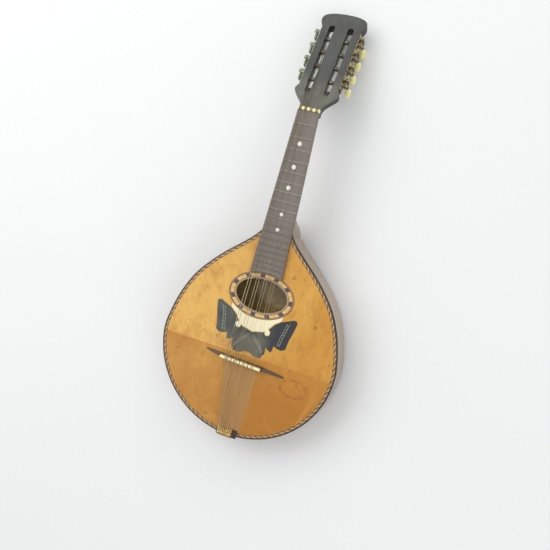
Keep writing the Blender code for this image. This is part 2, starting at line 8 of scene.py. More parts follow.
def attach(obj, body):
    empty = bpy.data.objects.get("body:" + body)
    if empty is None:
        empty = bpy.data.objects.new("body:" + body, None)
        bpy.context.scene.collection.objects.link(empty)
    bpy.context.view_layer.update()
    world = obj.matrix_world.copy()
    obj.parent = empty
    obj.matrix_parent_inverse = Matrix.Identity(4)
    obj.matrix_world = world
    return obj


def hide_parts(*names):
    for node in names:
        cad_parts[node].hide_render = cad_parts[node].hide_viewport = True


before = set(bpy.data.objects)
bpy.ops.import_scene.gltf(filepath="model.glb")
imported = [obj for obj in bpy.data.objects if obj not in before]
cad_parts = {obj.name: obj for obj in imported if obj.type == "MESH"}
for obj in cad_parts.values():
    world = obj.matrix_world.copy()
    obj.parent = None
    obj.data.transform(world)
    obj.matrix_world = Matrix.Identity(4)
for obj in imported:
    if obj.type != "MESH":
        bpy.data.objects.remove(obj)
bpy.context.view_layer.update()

# Lengths are millimetres here, written to the meshes in metres.
MM = 0.001
SCALE, Y_NUT, Y_BRIDGE, FRETS = 335.0, 312.0, -38.0, 18
STRING_R = (0.46, 0.46, 0.33, 0.33, 0.2, 0.2, 0.15, 0.15)
NAMES = ("g1", "g2", "d1", "d2", "a1", "a2", "e1", "e2")
Y_TAIL, Y_JOIN = -145.8, 144.2
LOWER_HALF_W, LOWER_LEN = 127.0, 125.0
UPPER = ((125.0, 127.0), (145.0, 124.3), (165.0, 119.4), (184.0, 112.8), (207.0, 101.4), (228.0, 85.6),
         (248.0, 66.6), (265.0, 47.4), (280.0, 31.4), (290.0, 23.2))
Z_TOP, T_TOP, T_BACK, T_RIB, BIND_W = 53.4, 2.8, 3.0, 2.2, 2.0
CANT_Y, CANT = -28.0, math.tan(math.radians(4.0))
HOLE_Y, HOLE_A, HOLE_B, ROS_A, ROS_B = 57.2, 37.3, 22.9, 47.3, 31.9
NUT_HALF, JOIN_HALF, Z_FB, NECK_END = 14.9, 21.0, 58.4, 314.0
HEAD_TILT, HEAD_Z0, HEAD_T, VENEER = 0.41, 54.9, 13.0, 1.5
SLOT_X, SLOT_W, SLOT_S0, SLOT_S1, HEAD_SIDE = 13.55, 8.4, 38.5, 144.5, 28.0
ROLLER_S0, ROLLER_PITCH, ROLLER_H, ROLLER_R, BORE_R = 55.0, 23.2, -6.5, 2.9, 3.2
TEETH, CENTRES, GEAR_TIP, GEAR_ROOT, WORM_TIP, WORM_ROOT = 14, 7.5, 4.75, 3.75, 3.05, 1.95
LEAD = 2 * math.pi * 4.6 / TEETH
GEAR_X, GEAR_W, PLATE_X0, PLATE_X1, SHAFT_R, BUTTON_H = 32.6, 2.8, 28.1, 29.1, 1.4, -31.0
HOOK_Y = -142.2
Z_NUT_SLOT, Z_SADDLE = 59.7, 64.0
NUT_Y0, NUT_Y1 = 311.6, 316.1
SADDLE0, SADDLE1 = -33.2, 27.0
ROLLER_FOR = ((0, -15.6), (1, -13.6), (2, -13.0), (3, -14.2))
TURN = 2 * math.pi


def course(centre, pitch, pair):
    return [centre + (c - 1.5) * pitch + (k - 0.5) * pair for c in range(4) for k in range(2)]


X_AT_NUT = course(0.0, 7.6, 2.7)
X_AT_BRIDGE = course(-3.4, 12.6, 4.2)
X_AT_TAIL = [-12.6 + 2.5 * i for i in range(8)]


def surf(y):
    return Z_TOP - max(0.0, CANT_Y - y) * CANT


def head(x, s, h):
    c, n = math.cos(HEAD_TILT), math.sin(HEAD_TILT)
    return (x, Y_NUT + s * c + h * n, HEAD_Z0 - s * n + h * c)


def lin(r, g, b):
    """8-bit display colour to linear."""
    def f(v):
        v /= 255.0
        return v / 12.92 if v <= 0.04045 else ((v + 0.055) / 1.055) ** 2.4
    return (f(r), f(g), f(b), 1.0)


# ================================================================ materials
class Mat:
    """Small helper round a Principled material's node tree."""

    def __init__(self, name, colour, rough=0.5, metal=0.0, spec=0.5, coat=0.0, coat_rough=0.05, sub=0.0, sub_r=None, trans=0.0):
        self.m = bpy.data.materials.new(name)
        self.m.use_nodes = True
        self.t = self.m.node_tree
        self.b = self.t.nodes["Principled BSDF"]
        i = self.b.inputs
        i["Base Color"].default_value = colour
        i["Roughness"].default_value = rough
        i["Metallic"].default_value = metal
        i["Specular IOR Level"].default_value = spec
        i["Coat Weight"].default_value = coat
        i["Coat Roughness"].default_value = coat_rough
        i["Subsurface Weight"].default_value = sub
        if sub_r:
            i["Subsurface Radius"].default_value = sub_r
            i["Subsurface Scale"].default_value = 0.004
        i["Transmission Weight"].default_value = trans
        self.m.diffuse_color = colour
        self.pos = self.node("ShaderNodeTexCoord").outputs["Object"]

    def node(self, kind, **kw):
        n = self.t.nodes.new(kind)
        for k, v in kw.items():
            setattr(n, k, v)
        return n

    def put(self, socket, value):
        if hasattr(value, "is_output"):
            self.t.links.new(value, socket)
        else:
            socket.default_value = value

    def scaled(self, sx, sy, sz, rot=(0, 0, 0)):
        n = self.node("ShaderNodeMapping")
        self.put(n.inputs["Vector"], self.pos)
        n.inputs["Scale"].default_value = (sx, sy, sz)
        n.inputs["Rotation"].default_value = rot
        return n.outputs["Vector"]

    def noise(self, vec, detail=3.0, rough=0.5, dist=0.0, scale=1.0):
        n = self.node("ShaderNodeTexNoise")
        self.put(n.inputs["Vector"], vec)
        n.inputs["Scale"].default_value = scale
        n.inputs["Detail"].default_value = detail
        n.inputs["Roughness"].default_value = rough
        n.inputs["Distortion"].default_value = dist
        return n.outputs["Fac"]

    def ramp(self, fac, stops):
        n = self.node("ShaderNodeValToRGB")
        self.put(n.inputs["Fac"], fac)
        e = n.color_ramp.elements
        while len(e) < len(stops):
            e.new(0.5)
        for k, (p, c) in enumerate(stops):
            e[k].position = p
            e[k].color = c if len(c) == 4 else (*c, 1.0)
        return n.outputs["Color"]

    def mask(self, fac, a, b):
        """0 at a, 1 at b, smooth between."""
        n = self.node("ShaderNodeMapRange", interpolation_type="SMOOTHSTEP")
        self.put(n.inputs["Value"], fac)
        n.inputs["From Min"].default_value = a
        n.inputs["From Max"].default_value = b
        return n.outputs["Result"]

    def math(self, op, a, b=0.0, c=0.0):
        n = self.node("ShaderNodeMath", operation=op)
        self.put(n.inputs[0], a)
        self.put(n.inputs[1], b)
        if len(n.inputs) > 2:
            self.put(n.inputs[2], c)
        return n.outputs[0]

    def mix(self, fac, a, b, mode="MIX"):
        n = self.node("ShaderNodeMix", data_type="RGBA", blend_type=mode)
        self.put(n.inputs[0], fac)
        self.put(n.inputs[6], a)
        self.put(n.inputs[7], b)
        return n.outputs[2]

    def xyz(self):
        n = self.node("ShaderNodeSeparateXYZ")
        self.put(n.inputs[0], self.pos)
        return n.outputs

    def colour(self, c):
        self.put(self.b.inputs["Base Color"], c)
        return self

    def rough(self, r):
        self.put(self.b.inputs["Roughness"], r)
        return self

    def bump(self, height, strength=0.2, dist=0.0002, base=None):
        n = self.node("ShaderNodeBump")
        self.put(n.inputs["Height"], height)
        n.inputs["Strength"].default_value = strength
        n.inputs["Distance"].default_value = dist
        if base is not None:
            self.put(n.inputs["Normal"], base)
        self.put(self.b.inputs["Normal"], n.outputs["Normal"])
        return n.outputs["Normal"]


def wood_mat(name, dark, light, sx=700, sy=16, sz=260, rough=0.3, coat=0.6, fleck=0.25, rot=(0, 0, 0), bump=0.15):
    """Straight-grained varnished wood, grain along Y."""
    m = Mat(name, light, rough, coat=coat, coat_rough=0.08)
    fine = m.noise(m.scaled(sx, sy, sz, rot), 4, 0.6)
    wide = m.noise(m.scaled(sx * 0.12, sy * 0.35, sz * 0.12, rot), 2, 0.5, 0.6)
    g = m.math("ADD", m.math("MULTIPLY", fine, 0.55), m.math("MULTIPLY", wide, 0.45))
    c = m.ramp(g, ((0.34, dark), (0.62, light)))
    pores = m.mask(m.noise(m.scaled(sx * 2.2, sy * 5, sz * 2.2, rot), 2, 0.5), 0.62, 0.7)
    c = m.mix(m.math("MULTIPLY", pores, fleck), c, (dark[0] * 0.4, dark[1] * 0.4, dark[2] * 0.4, 1))
    m.colour(c)
    m.rough(m.mask(wide, 0.0, 2.4) if False else m.math("ADD", m.math("MULTIPLY", fine, 0.12), rough - 0.05))
    m.bump(fine, bump, 0.00008)
    return m


def spruce_top():
    m = Mat("spruce_top", lin(205, 150, 78), 0.3, spec=0.4, coat=0.3, coat_rough=0.15)
    x, y, z = m.xyz()
    # painted light and shade over the top: lighter at the upper left where the light falls, painted shade below the
    # bend, towards the tail and to the right
    side = m.mask(x, -0.085, 0.095)
    up = m.mix(side, lin(219, 172, 88), lin(201, 146, 56))
    low = m.mix(m.mask(x, -0.10, 0.055), lin(190, 136, 62), m.mix(m.mask(y, -0.03, -0.085), lin(186, 127, 44), lin(172, 111, 26)))
    # painted shade: darker towards the tail
    low = m.mix(m.math("MULTIPLY", m.mask(y, -0.095, -0.145), 0.35), low, lin(160, 100, 20))
    # painted shade: darker on the right side, towards the bend
    up = m.mix(m.math("MULTIPLY", m.math("MULTIPLY", m.mask(y, 0.03, -0.026), m.mask(x, -0.02, 0.09)), 0.75), up, lin(194, 136, 50))
    c = m.mix(m.mask(y, -0.0290, -0.0268), low, up)
    cloud = m.noise(m.scaled(20, 13, 16), 4, 0.6, 0.8)
    c = m.mix(m.math("MULTIPLY", m.mask(cloud, 0.46, 0.72), 0.42), c, lin(176, 112, 34))
    c = m.mix(m.math("MULTIPLY", m.mask(cloud, 0.50, 0.28), 0.30), c, lin(226, 180, 92))
    patch = m.noise(m.scaled(75, 38, 60), 3, 0.6, 1.0)
    c = m.mix(m.math("MULTIPLY", m.mask(patch, 0.50, 0.70), 0.36), c, lin(168, 106, 36))
    grain = m.noise(m.scaled(900, 9, 60), 2, 0.5)
    rings = m.noise(m.scaled(330, 3.2, 40), 2, 0.4, 0.25)
    c = m.mix(m.math("MULTIPLY", m.mask(grain, 0.48, 0.7), 0.10), c, lin(150, 92, 36))
    c = m.mix(m.math("MULTIPLY", m.mask(rings, 0.52, 0.66), 0.08), c, lin(160, 98, 40))
    silk = m.noise(m.scaled(60, 420, 60), 2, 0.5)
    c = m.mix(m.math("MULTIPLY", m.mask(silk, 0.55, 0.75), 0.08), c, lin(236, 194, 120))
    # small knots, dents and dark marks, thinly spread
    knot = m.mask(m.noise(m.scaled(95, 70, 60), 2, 0.5), 0.69, 0.75)
    c = m.mix(m.math("MULTIPLY", knot, 0.55), c, lin(104, 62, 26))
    dent = m.mask(m.noise(m.scaled(260, 120, 60, (0, 0, 0.5)), 2, 0.5), 0.66, 0.72)
    c = m.mix(m.math("MULTIPLY", dent, 0.42), c, lin(126, 76, 30))
    # brownish wear between the bridge and the pickguard
    wear = m.math("MULTIPLY", m.math("MULTIPLY", m.mask(y, -0.0285, -0.024), m.mask(y, -0.004, -0.016)),
                  m.math("MULTIPLY", m.mask(x, -0.066, -0.040), m.mask(x, 0.030, 0.0)))
    c = m.mix(m.math("MULTIPLY", wear, 0.38), c, lin(168, 122, 78))
    # fine scratches in the varnish
    scr = m.mask(m.noise(m.scaled(1500, 45, 60, (0, 0, 0.9)), 1, 0.4), 0.70, 0.76)
    c = m.mix(m.math("MULTIPLY", scr, 0.14), c, lin(240, 205, 140))
    # paler worn strip where the string ends run, bridge to tail
    t = m.mask(y, -0.142, -0.040)
    half = m.math("ADD", m.math("MULTIPLY", t, 0.0065), 0.0170)
    off = m.math("ABSOLUTE", m.math("ADD", x, m.math("MULTIPLY", t, 0.0025)))
    edge = m.math("SUBTRACT", off, half)
    strip = m.math("MULTIPLY", m.math("SUBTRACT", 1.0, m.mask(edge, -0.0016, 0.0008)),
                   m.math("MULTIPLY", m.mask(y, -0.037, -0.043), m.mask(y, -0.1456, -0.137)))
    streak = m.noise(m.scaled(520, 11, 60), 3, 0.6)
    pale = m.mix(m.mask(streak, 0.3, 0.7), lin(158, 116, 66), lin(178, 138, 88))
    c = m.mix(m.math("MULTIPLY", strip, 0.85), c, pale)
    # a faint plain oval stain, treble side below the bridge
    u = m.math("DIVIDE", m.math("SUBTRACT", x, 0.0755), 0.0195)
    v = m.math("DIVIDE", m.math("SUBTRACT", y, -0.0535), 0.0125)
    rr = m.math("SQRT", m.math("ADD", m.math("MULTIPLY", u, u), m.math("MULTIPLY", v, v)))
    ring = m.math("SUBTRACT", 1.0, m.mask(m.math("ABSOLUTE", m.math("SUBTRACT", rr, 0.95)), 0.04, 0.2))
    stain_and_sheen_patches = m.mask(m.noise(m.scaled(150, 150, 60), 2, 0.5), 0.38, 0.62)
    c = m.mix(m.math("MULTIPLY", m.math("MULTIPLY", ring, stain_and_sheen_patches), 0.42), c, lin(130, 62, 34))
    m.colour(c)
    m.rough(m.math("ADD", m.math("MULTIPLY", cloud, 0.16), 0.2))
    m.bump(m.math("ADD", grain, m.math("MULTIPLY", scr, -0.6)), 0.12, 0.00008)
    return m.m


def speckled(name, a, b, scale=900, rough=0.35, coat=0.3, spec=0.5, bump=0.05, sub=0.0):
    m = Mat(name, a, rough, spec=spec, coat=coat, sub=sub, sub_r=(1.0, 0.6, 0.3) if sub else None)
    n = m.noise(m.scaled(scale, scale, scale), 3, 0.6)
    big = m.noise(m.scaled(scale * 0.07, scale * 0.07, scale * 0.07), 2, 0.5)
    m.colour(m.mix(m.math("ADD", m.math("MULTIPLY", n, 0.6), m.math("MULTIPLY", big, 0.4)), a, b))
    m.rough(m.math("ADD", m.math("MULTIPLY", big, 0.18), rough - 0.08))
    if bump:
        m.bump(n, bump, 0.00005)
    return m.m


def lacquer(name, base, haze, rough, coat=0.5):
    """Old black lacquer: greyed by fine wear, glossier where it is whole."""
    m = Mat(name, base, rough, spec=0.4, coat=coat, coat_rough=0.16)
    n = m.noise(m.scaled(45, 30, 45), 4, 0.65, 0.4)
    scr = m.mask(m.noise(m.scaled(1300, 60, 400, (0, 0, 0.5)), 1, 0.4), 0.66, 0.75)
    c = m.mix(m.mask(n, 0.3, 0.75), base, haze)
    c = m.mix(m.math("MULTIPLY", scr, 0.25), c, (haze[0] * 2.2, haze[1] * 2.2, haze[2] * 2.2, 1))
    m.colour(c)
    m.rough(m.math("ADD", m.math("MULTIPLY", n, 0.25), rough - 0.1))
    m.bump(n, 0.04, 0.0001)
    return m.m


def metal(name, bright, tarnish, rough=0.35, scale=300, amount=(0.4, 0.62)):
    m = Mat(name, bright, rough, metal=1.0)
    n = m.noise(m.scaled(scale, scale, scale), 4, 0.6, 0.3)
    k = m.mask(n, *amount)
    m.colour(m.mix(k, bright, tarnish))
    m.rough(m.math("ADD", m.math("MULTIPLY", k, 0.22), rough - 0.05))
    m.bump(n, 0.06, 0.00005)
    return m.m


def ebony_board():
    m = Mat("worn_board", lin(132, 124, 114), 0.5, coat=0.1)
    x, y, z = m.xyz()
    grain = m.noise(m.scaled(620, 12, 200), 4, 0.6)
    c = m.ramp(grain, ((0.25, lin(108, 99, 91)), (0.75, lin(131, 123, 113))))
    w = m.math("ADD", m.math("MULTIPLY", m.math("SUBTRACT", 0.312, y), 0.0364), 0.0149)
    edge = m.mask(m.math("DIVIDE", m.math("ABSOLUTE", x), w), 0.72, 1.0)
    c = m.mix(m.math("MULTIPLY", edge, 0.4), c, lin(92, 78, 70))
    stain = m.mask(m.noise(m.scaled(40, 18, 40), 3, 0.6), 0.45, 0.75)
    c = m.mix(m.math("MULTIPLY", stain, 0.35), c, lin(112, 96, 90))
    m.colour(c)
    m.rough(m.math("ADD", m.math("MULTIPLY", grain, 0.2), 0.38))
    m.bump(grain, 0.2, 0.00008)
    return m.m


M = {}
M["top"] = spruce_top()
M["side"] = wood_mat("brown_hardwood", lin(126, 98, 66), lin(158, 130, 92), 160, 14, 520, rough=0.26, coat=0.45, fleck=0.15).m
M["inner"] = wood_mat("bare_inside", lin(150, 122, 70), lin(188, 162, 106), 600, 12, 600, rough=0.7, coat=0.0).m


def back_mat():
    """Varnished brown outside, bare olive-brown wood on the inner face."""
    k = wood_mat("brown_back", lin(104, 66, 42), lin(146, 100, 66), 420, 9, 420, rough=0.26, coat=0.6)
    outer = k.b.inputs["Base Color"].links[0].from_socket
    x, y, z = k.xyz()
    dust = k.noise(k.scaled(30, 22, 30), 4, 0.6, 0.6)
    inner = k.mix(k.mask(dust, 0.35, 0.65), lin(140, 116, 68), lin(196, 168, 104))
    k.colour(k.mix(k.mask(z, 0.00255, 0.0029), outer, inner))
    return k.m


M["back"] = back_mat()
M["neck"] = wood_mat("brown_neck", lin(106, 82, 56), lin(144, 116, 84), 420, 14, 420, rough=0.28, coat=0.45).m
M["black"] = lacquer("black_edge", lin(38, 26, 26), lin(78, 58, 52), 0.36, coat=0.3)
def head_lacquer():
    """Black face of the head, with a painted grey sheen towards the throat."""
    m = Mat("black_lacquer", lin(60, 61, 58), 0.42, spec=0.4, coat=0.22, coat_rough=0.16)
    x, y, z = m.xyz()
    n = m.noise(m.scaled(45, 30, 45), 4, 0.65, 0.4)
    scr = m.mask(m.noise(m.scaled(900, 50, 400, (0, 0, 0.5)), 1, 0.4), 0.66, 0.75)
    c = m.mix(m.mask(n, 0.3, 0.75), lin(44, 46, 42), lin(66, 67, 61))
    stain_and_sheen_patches = m.mask(n, 0.2, 0.7)
    # painted sheen: lighter grey towards the throat, in patches
    c = m.mix(m.math("MULTIPLY", m.mask(y, 0.378, 0.335), 0.85), c, m.mix(stain_and_sheen_patches, lin(78, 78, 66), lin(104, 104, 92)))
    c = m.mix(m.math("MULTIPLY", scr, 0.2), c, lin(134, 132, 122))
    m.colour(c)
    m.rough(m.math("ADD", m.math("MULTIPLY", n, 0.25), 0.32))
    m.bump(n, 0.04, 0.0001)
    return m.m


M["lacquer"] = head_lacquer()
def wing_mat():
    """Black inlay with a painted grey sheen at the bottom centre, blue-black on the treble side."""
    m = Mat("black_inlay", lin(60, 62, 60), 0.36, spec=0.4, coat=0.3, coat_rough=0.14)
    x, y, z = m.xyz()
    n = m.noise(m.scaled(60, 45, 45), 4, 0.6, 0.4)
    c = m.mix(m.mask(n, 0.3, 0.75), lin(62, 65, 60), lin(92, 94, 84))
    c = m.mix(m.mask(x, 0.016, 0.036), c, m.mix(n, lin(26, 28, 32), lin(56, 58, 62)))
    # painted sheen: lighter grey at the bottom centre of the wings
    mid = m.math("MULTIPLY", m.mask(m.math("ABSOLUTE", x), 0.026, 0.012), m.mask(y, 0.004, -0.006))
    c = m.mix(m.math("MULTIPLY", mid, 0.8), c, m.mix(n, lin(88, 84, 72), lin(120, 114, 98)))
    m.colour(c)
    m.rough(m.math("ADD", m.math("MULTIPLY", n, 0.25), 0.26))
    m.bump(n, 0.04, 0.0001)
    return m.m


M["wing"] = wing_mat()
M["vein"] = speckled("engraved_line", lin(206, 204, 184), lin(168, 166, 148), 700, 0.4)
M["board"] = ebony_board()
M["bridge"] = wood_mat("ebonised_bridge", lin(52, 38, 32), lin(84, 66, 54), 40, 500, 500, rough=0.34, coat=0.4).m
M["bone"] = speckled("bone", lin(244, 232, 180), lin(222, 200, 138), 500, 0.35)
M["cream"] = speckled("cream_inlay", lin(246, 238, 202), lin(226, 214, 172), 350, 0.3, coat=0.3)
M["pearl"] = speckled("pearl", lin(246, 244, 236), lin(222, 222, 216), 700, 0.2, coat=0.8)
M["gold"] = speckled("yellow_inlay", lin(228, 194, 112), lin(198, 152, 92), 160, 0.3, coat=0.3)
M["mauve"] = speckled("mauve_inlay", lin(146, 122, 104), lin(120, 94, 82), 380, 0.32, coat=0.5)
M["plum"] = speckled("plum_inlay", lin(72, 50, 58), lin(96, 72, 74), 380, 0.32, coat=0.5)
M["umber"] = speckled("umber_inlay", lin(150, 112, 66), lin(120, 84, 48), 380, 0.32, coat=0.5)
M["taupe"] = speckled("taupe_line", lin(176, 150, 112), lin(140, 114, 84), 380, 0.34, coat=0.5)
M["bead"] = speckled("bead_inlay", lin(206, 192, 164), lin(170, 152, 130), 380, 0.32, coat=0.3)
M["tan"] = speckled("tan_line", lin(190, 148, 92), lin(158, 116, 72), 380, 0.34, coat=0.3)
M["green"] = speckled("green_inlay", lin(92, 98, 62), lin(120, 118, 72), 380, 0.34, coat=0.5)
M["brass"] = metal("aged_brass", lin(150, 142, 108), lin(96, 88, 64), 0.4)
M["patina"] = metal("green_patina", lin(160, 168, 146), lin(112, 120, 100), 0.5)
M["post"] = metal("dark_post", lin(138, 136, 108), lin(78, 76, 58), 0.4)
M["copper"] = metal("aged_gear", lin(160, 138, 112), lin(100, 82, 64), 0.4)
M["gilt"] = metal("worn_gilt", lin(248, 230, 172), lin(216, 184, 122), 0.36)
M["dull_gilt"] = metal("dull_gilt", lin(206, 170, 112), lin(154, 118, 72), 0.46)
M["screw"] = metal("bright_screw", lin(226, 222, 210), lin(160, 150, 132), 0.24)
def string_mat(name, shade):
    """Plain or wound wire: dull and dirty over the neck and head, cleaner over the body."""
    m = Mat(name, lin(*shade), 0.42, metal=0.75)
    x, y, z = m.xyz()
    n = m.noise(m.scaled(120, 30, 120), 2, 0.5)
    def tone(r, g, b):
        k = [v * w / 180.0 for v, w in zip((r, g, b), shade)]
        return m.mix(n, lin(*k), lin(*[v * 0.9 for v in k]))
    c = m.mix(m.mask(y, -0.034, -0.044), tone(196, 186, 156), tone(184, 152, 112))
    c = m.mix(m.mask(y, -0.125, -0.139), c, tone(244, 220, 160))
    c = m.mix(m.math("MULTIPLY", m.mask(y, -0.034, -0.030), m.mask(y, 0.012, 0.004)), c, tone(138, 130, 112))
    c = m.mix(m.mask(y, 0.078, 0.092), c, tone(138, 130, 120))
    c = m.mix(m.mask(y, 0.312, 0.320), c, tone(104, 104, 90))
    m.colour(c)
    m.rough(m.math("ADD", m.math("MULTIPLY", n, 0.2), 0.34))
    return m.m


M["steel"] = string_mat("string_steel", (186, 184, 178))
M["bronze"] = string_mat("string_wound", (178, 174, 164))
def fret_mat():
    m = Mat("fret_wire", lin(168, 160, 148), 0.5, metal=0.3)
    x, y, z = m.xyz()
    n = m.noise(m.scaled(260, 260, 260), 3, 0.6)
    pale = m.mix(n, lin(134, 126, 117), lin(178, 170, 159))
    dark = m.mix(n, lin(100, 90, 80), lin(134, 124, 111))
    # painted light: frets towards the nut are paler as highlights, frets towards the body darker as shade
    m.colour(m.mix(m.mask(y, 0.146, 0.175), dark, pale))
    m.rough(m.math("ADD", m.math("MULTIPLY", n, 0.2), 0.4))
    return m.m


M["fret"] = fret_mat()
M["stain"] = wood_mat("stained_head", lin(20, 18, 18), lin(44, 40, 38), 420, 14, 420, rough=0.45, coat=0.15).m
M["rope_bed"] = speckled("rope_bed", lin(104, 74, 50), lin(84, 58, 40), 380, 0.34, coat=0.3)
M["rope_cream"] = speckled("rope_cream", lin(222, 198, 146), lin(190, 158, 106), 380, 0.32, coat=0.3)
M["rope_gold"] = speckled("rope_gold", lin(178, 132, 74), lin(150, 104, 62), 380, 0.32, coat=0.3)
M["rope_dark"] = speckled("rope_dark", lin(48, 38, 34), lin(70, 58, 46), 380, 0.34, coat=0.4)


def ivory():
    m = Mat("ivory_grip", lin(236, 214, 140), 0.22, coat=0.6, sub=0.35, sub_r=(1.0, 0.75, 0.35))
    n = m.noise(m.scaled(170, 60, 60), 3, 0.6, 1.2)
    m.colour(m.ramp(n, ((0.3, lin(226, 214, 128)), (0.7, lin(248, 243, 184)))))
    m.rough(m.math("ADD", m.math("MULTIPLY", n, 0.14), 0.14))
    m.bump(n, 0.05, 0.0001)
    return m.m


M["ivory"] = ivory()


# ================================================================ mesh tools
def piece(name, bm, mat, body="instrument", smooth=35.0, bevel=0.0, seg=2, origin=None):
    bmesh.ops.remove_doubles(bm, verts=bm.verts, dist=1e-4)
    bmesh.ops.recalc_face_normals(bm, faces=bm.faces)
    o = Vector(origin or (0, 0, 0))
    for v in bm.verts:
        v.co = (v.co - o) * MM
    me = bpy.data.meshes.new(name)
    bm.to_mesh(me)
    bm.free()
    ob = bpy.data.objects.new(name, me)
    ob.location = o * MM
    bpy.context.scene.collection.objects.link(ob)
    me.materials.append(mat)
    if bevel:
        b = ob.modifiers.new("edge", "BEVEL")
        b.width = bevel * MM
        b.segments = seg
        b.limit_method = "ANGLE"
        b.angle_limit = math.radians(40)
        b.harden_normals = False
    if smooth:
        me.shade_smooth()
        me.set_sharp_from_angle(angle=math.radians(smooth))
    bpy.context.view_layer.update()
    if body:
        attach(ob, body)
    return ob


def loft(rings, closed=False, bm=None, caps=True):
    bm = bm or bmesh.new()
    vs = [[bm.verts.new(p) for p in r] for r in rings]
    n = len(rings[0])
    last = len(vs) if closed else len(vs) - 1
    for i in range(last):
        a, b = vs[i], vs[(i + 1) % len(vs)]
        for k in range(n):
            bm.faces.new((a[k], a[(k + 1) % n], b[(k + 1) % n], b[k]))
    if not closed and caps:
        bm.faces.new(vs[0][::-1])
        bm.faces.new(vs[-1])
    return bm


def circle(n, r, phase=0.0):
    return [(r * math.cos(phase + TURN * k / n), r * math.sin(phase + TURN * k / n)) for k in range(n)]


def boolean(a, b, op):
    obs = []
    for bm in (a, b):
        bmesh.ops.recalc_face_normals(bm, faces=bm.faces)
        me = bpy.data.meshes.new("tmp")
        bm.to_mesh(me)
        bm.free()
        ob = bpy.data.objects.new("tmp", me)
        bpy.context.scene.collection.objects.link(ob)
        obs.append(ob)
    m = obs[0].modifiers.new("cut", "BOOLEAN")
    m.operation = op
    m.solver = "EXACT"
    m.object = obs[1]
    bpy.context.view_layer.update()
    dg = bpy.context.evaluated_depsgraph_get()
    me = bpy.data.meshes.new_from_object(obs[0].evaluated_get(dg))
    out = bmesh.new()
    out.from_mesh(me)
    for ob in obs:
        bpy.data.objects.remove(ob)
    bmesh.ops.dissolve_degenerate(out, edges=out.edges, dist=1e-4)
    return out


def sweep(path, r, n=8, bm=None, taper=None):
    """Round tube along a path of points, with a frame carried along it."""
    pts = [Vector(p) for p in path]
    rings = []
    side = None
    for i, p in enumerate(pts):
        t = (pts[min(i + 1, len(pts) - 1)] - pts[max(i - 1, 0)]).normalized()
        if side is None:
            ref = Vector((0, 0, 1)) if abs(t.z) < 0.9 else Vector((1, 0, 0))
            side = t.cross(ref).normalized()
        side = (side - t * side.dot(t)).normalized()
        up = side.cross(t)
        k = r if taper is None else r * taper(i / (len(pts) - 1))
        rings.append([tuple(p + side * c + up * s) for c, s in circle(n, k)])
    return loft(rings, bm=bm)


def catmull(pts, steps):
    ext = [(2 * pts[0][0] - pts[1][0], pts[1][1])] + list(pts) + \
          [(2 * pts[-1][0] - pts[-2][0], 2 * pts[-1][1] - pts[-2][1])]
    out = []
    for i in range(1, len(ext) - 2):
        p0, p1, p2, p3 = ext[i - 1:i + 3]
        for s in range(steps):
            t = s / steps
            out.append(tuple(0.5 * (2 * p1[k] + (p2[k] - p0[k]) * t + (2 * p0[k] - 5 * p1[k] + 4 * p2[k] - p3[k]) * t * t
                                    + (3 * p1[k] - p0[k] - 3 * p2[k] + p3[k]) * t ** 3) for k in range(2)))
    out.append(tuple(ext[-2]))
    return out


def interp(table, v):
    """Smooth interpolation of the rows (v, a, b, ...) of a table."""
    n = len(table)
    i = max(0, min(n - 2, sum(1 for r in table if r[0] <= v) - 1))
    p0, p1, p2, p3 = table[max(0, i - 1)], table[i], table[i + 1], table[min(n - 1, i + 2)]
    t = max(0.0, min(1.0, (v - p1[0]) / (p2[0] - p1[0])))
    out = []
    for k in range(1, len(p1)):
        m1 = (p2[k] - p0[k]) / max(1e-6, p2[0] - p0[0]) * (p2[0] - p1[0])
        m2 = (p3[k] - p1[k]) / max(1e-6, p3[0] - p1[0]) * (p2[0] - p1[0])
        out.append((2 * t ** 3 - 3 * t * t + 1) * p1[k] + (t ** 3 - 2 * t * t + t) * m1
                   + (-2 * t ** 3 + 3 * t * t) * p2[k] + (t ** 3 - t * t) * m2)
    return out


# ---------------------------------------------------------------- outline, fine
def half_outline():
    bend = math.acos(1 - (CANT_Y - Y_TAIL) / LOWER_LEN)
    pts = [(LOWER_HALF_W * math.sin(bend * k / 48), Y_TAIL + LOWER_LEN * (1 - math.cos(bend * k / 48))) for k in range(49)]
    return pts + [(w, Y_TAIL + u) for u, w in catmull(UPPER, 8)]


HALF = half_outline()
EDGE = [(-x, y) for x, y in HALF[:0:-1]] + HALF          # bass neck corner, round the tail, to treble neck corner
NORM = []
for i in range(len(EDGE)):
    ax, ay = EDGE[max(0, i - 1)]
    bx, by = EDGE[min(len(EDGE) - 1, i + 1)]
    tx, ty = bx - ax, by - ay
    ln = math.hypot(tx, ty)
    NORM.append((-ty / ln, tx / ln))
LEN = [0.0]
for (ax, ay), (bx, by) in zip(EDGE, EDGE[1:]):
    LEN.append(LEN[-1] + math.hypot(bx - ax, by - ay))
TOTAL = LEN[-1]


def on_edge(s, d):
    """Point on the top plane, s along the edge from the bass neck corner and d inwards."""
    s = max(0.0, min(TOTAL, s))
    lo, hi = 0, len(LEN) - 1
    while hi - lo > 1:
        mid = (lo + hi) // 2
        lo, hi = (mid, hi) if LEN[mid] <= s else (lo, mid)
    t = (s - LEN[lo]) / (LEN[hi] - LEN[lo])
    x = EDGE[lo][0] + (EDGE[hi][0] - EDGE[lo][0]) * t
    y = EDGE[lo][1] + (EDGE[hi][1] - EDGE[lo][1]) * t
    nx = NORM[lo][0] + (NORM[hi][0] - NORM[lo][0]) * t
    ny = NORM[lo][1] + (NORM[hi][1] - NORM[lo][1]) * t
    return x + nx * d, y + ny * d


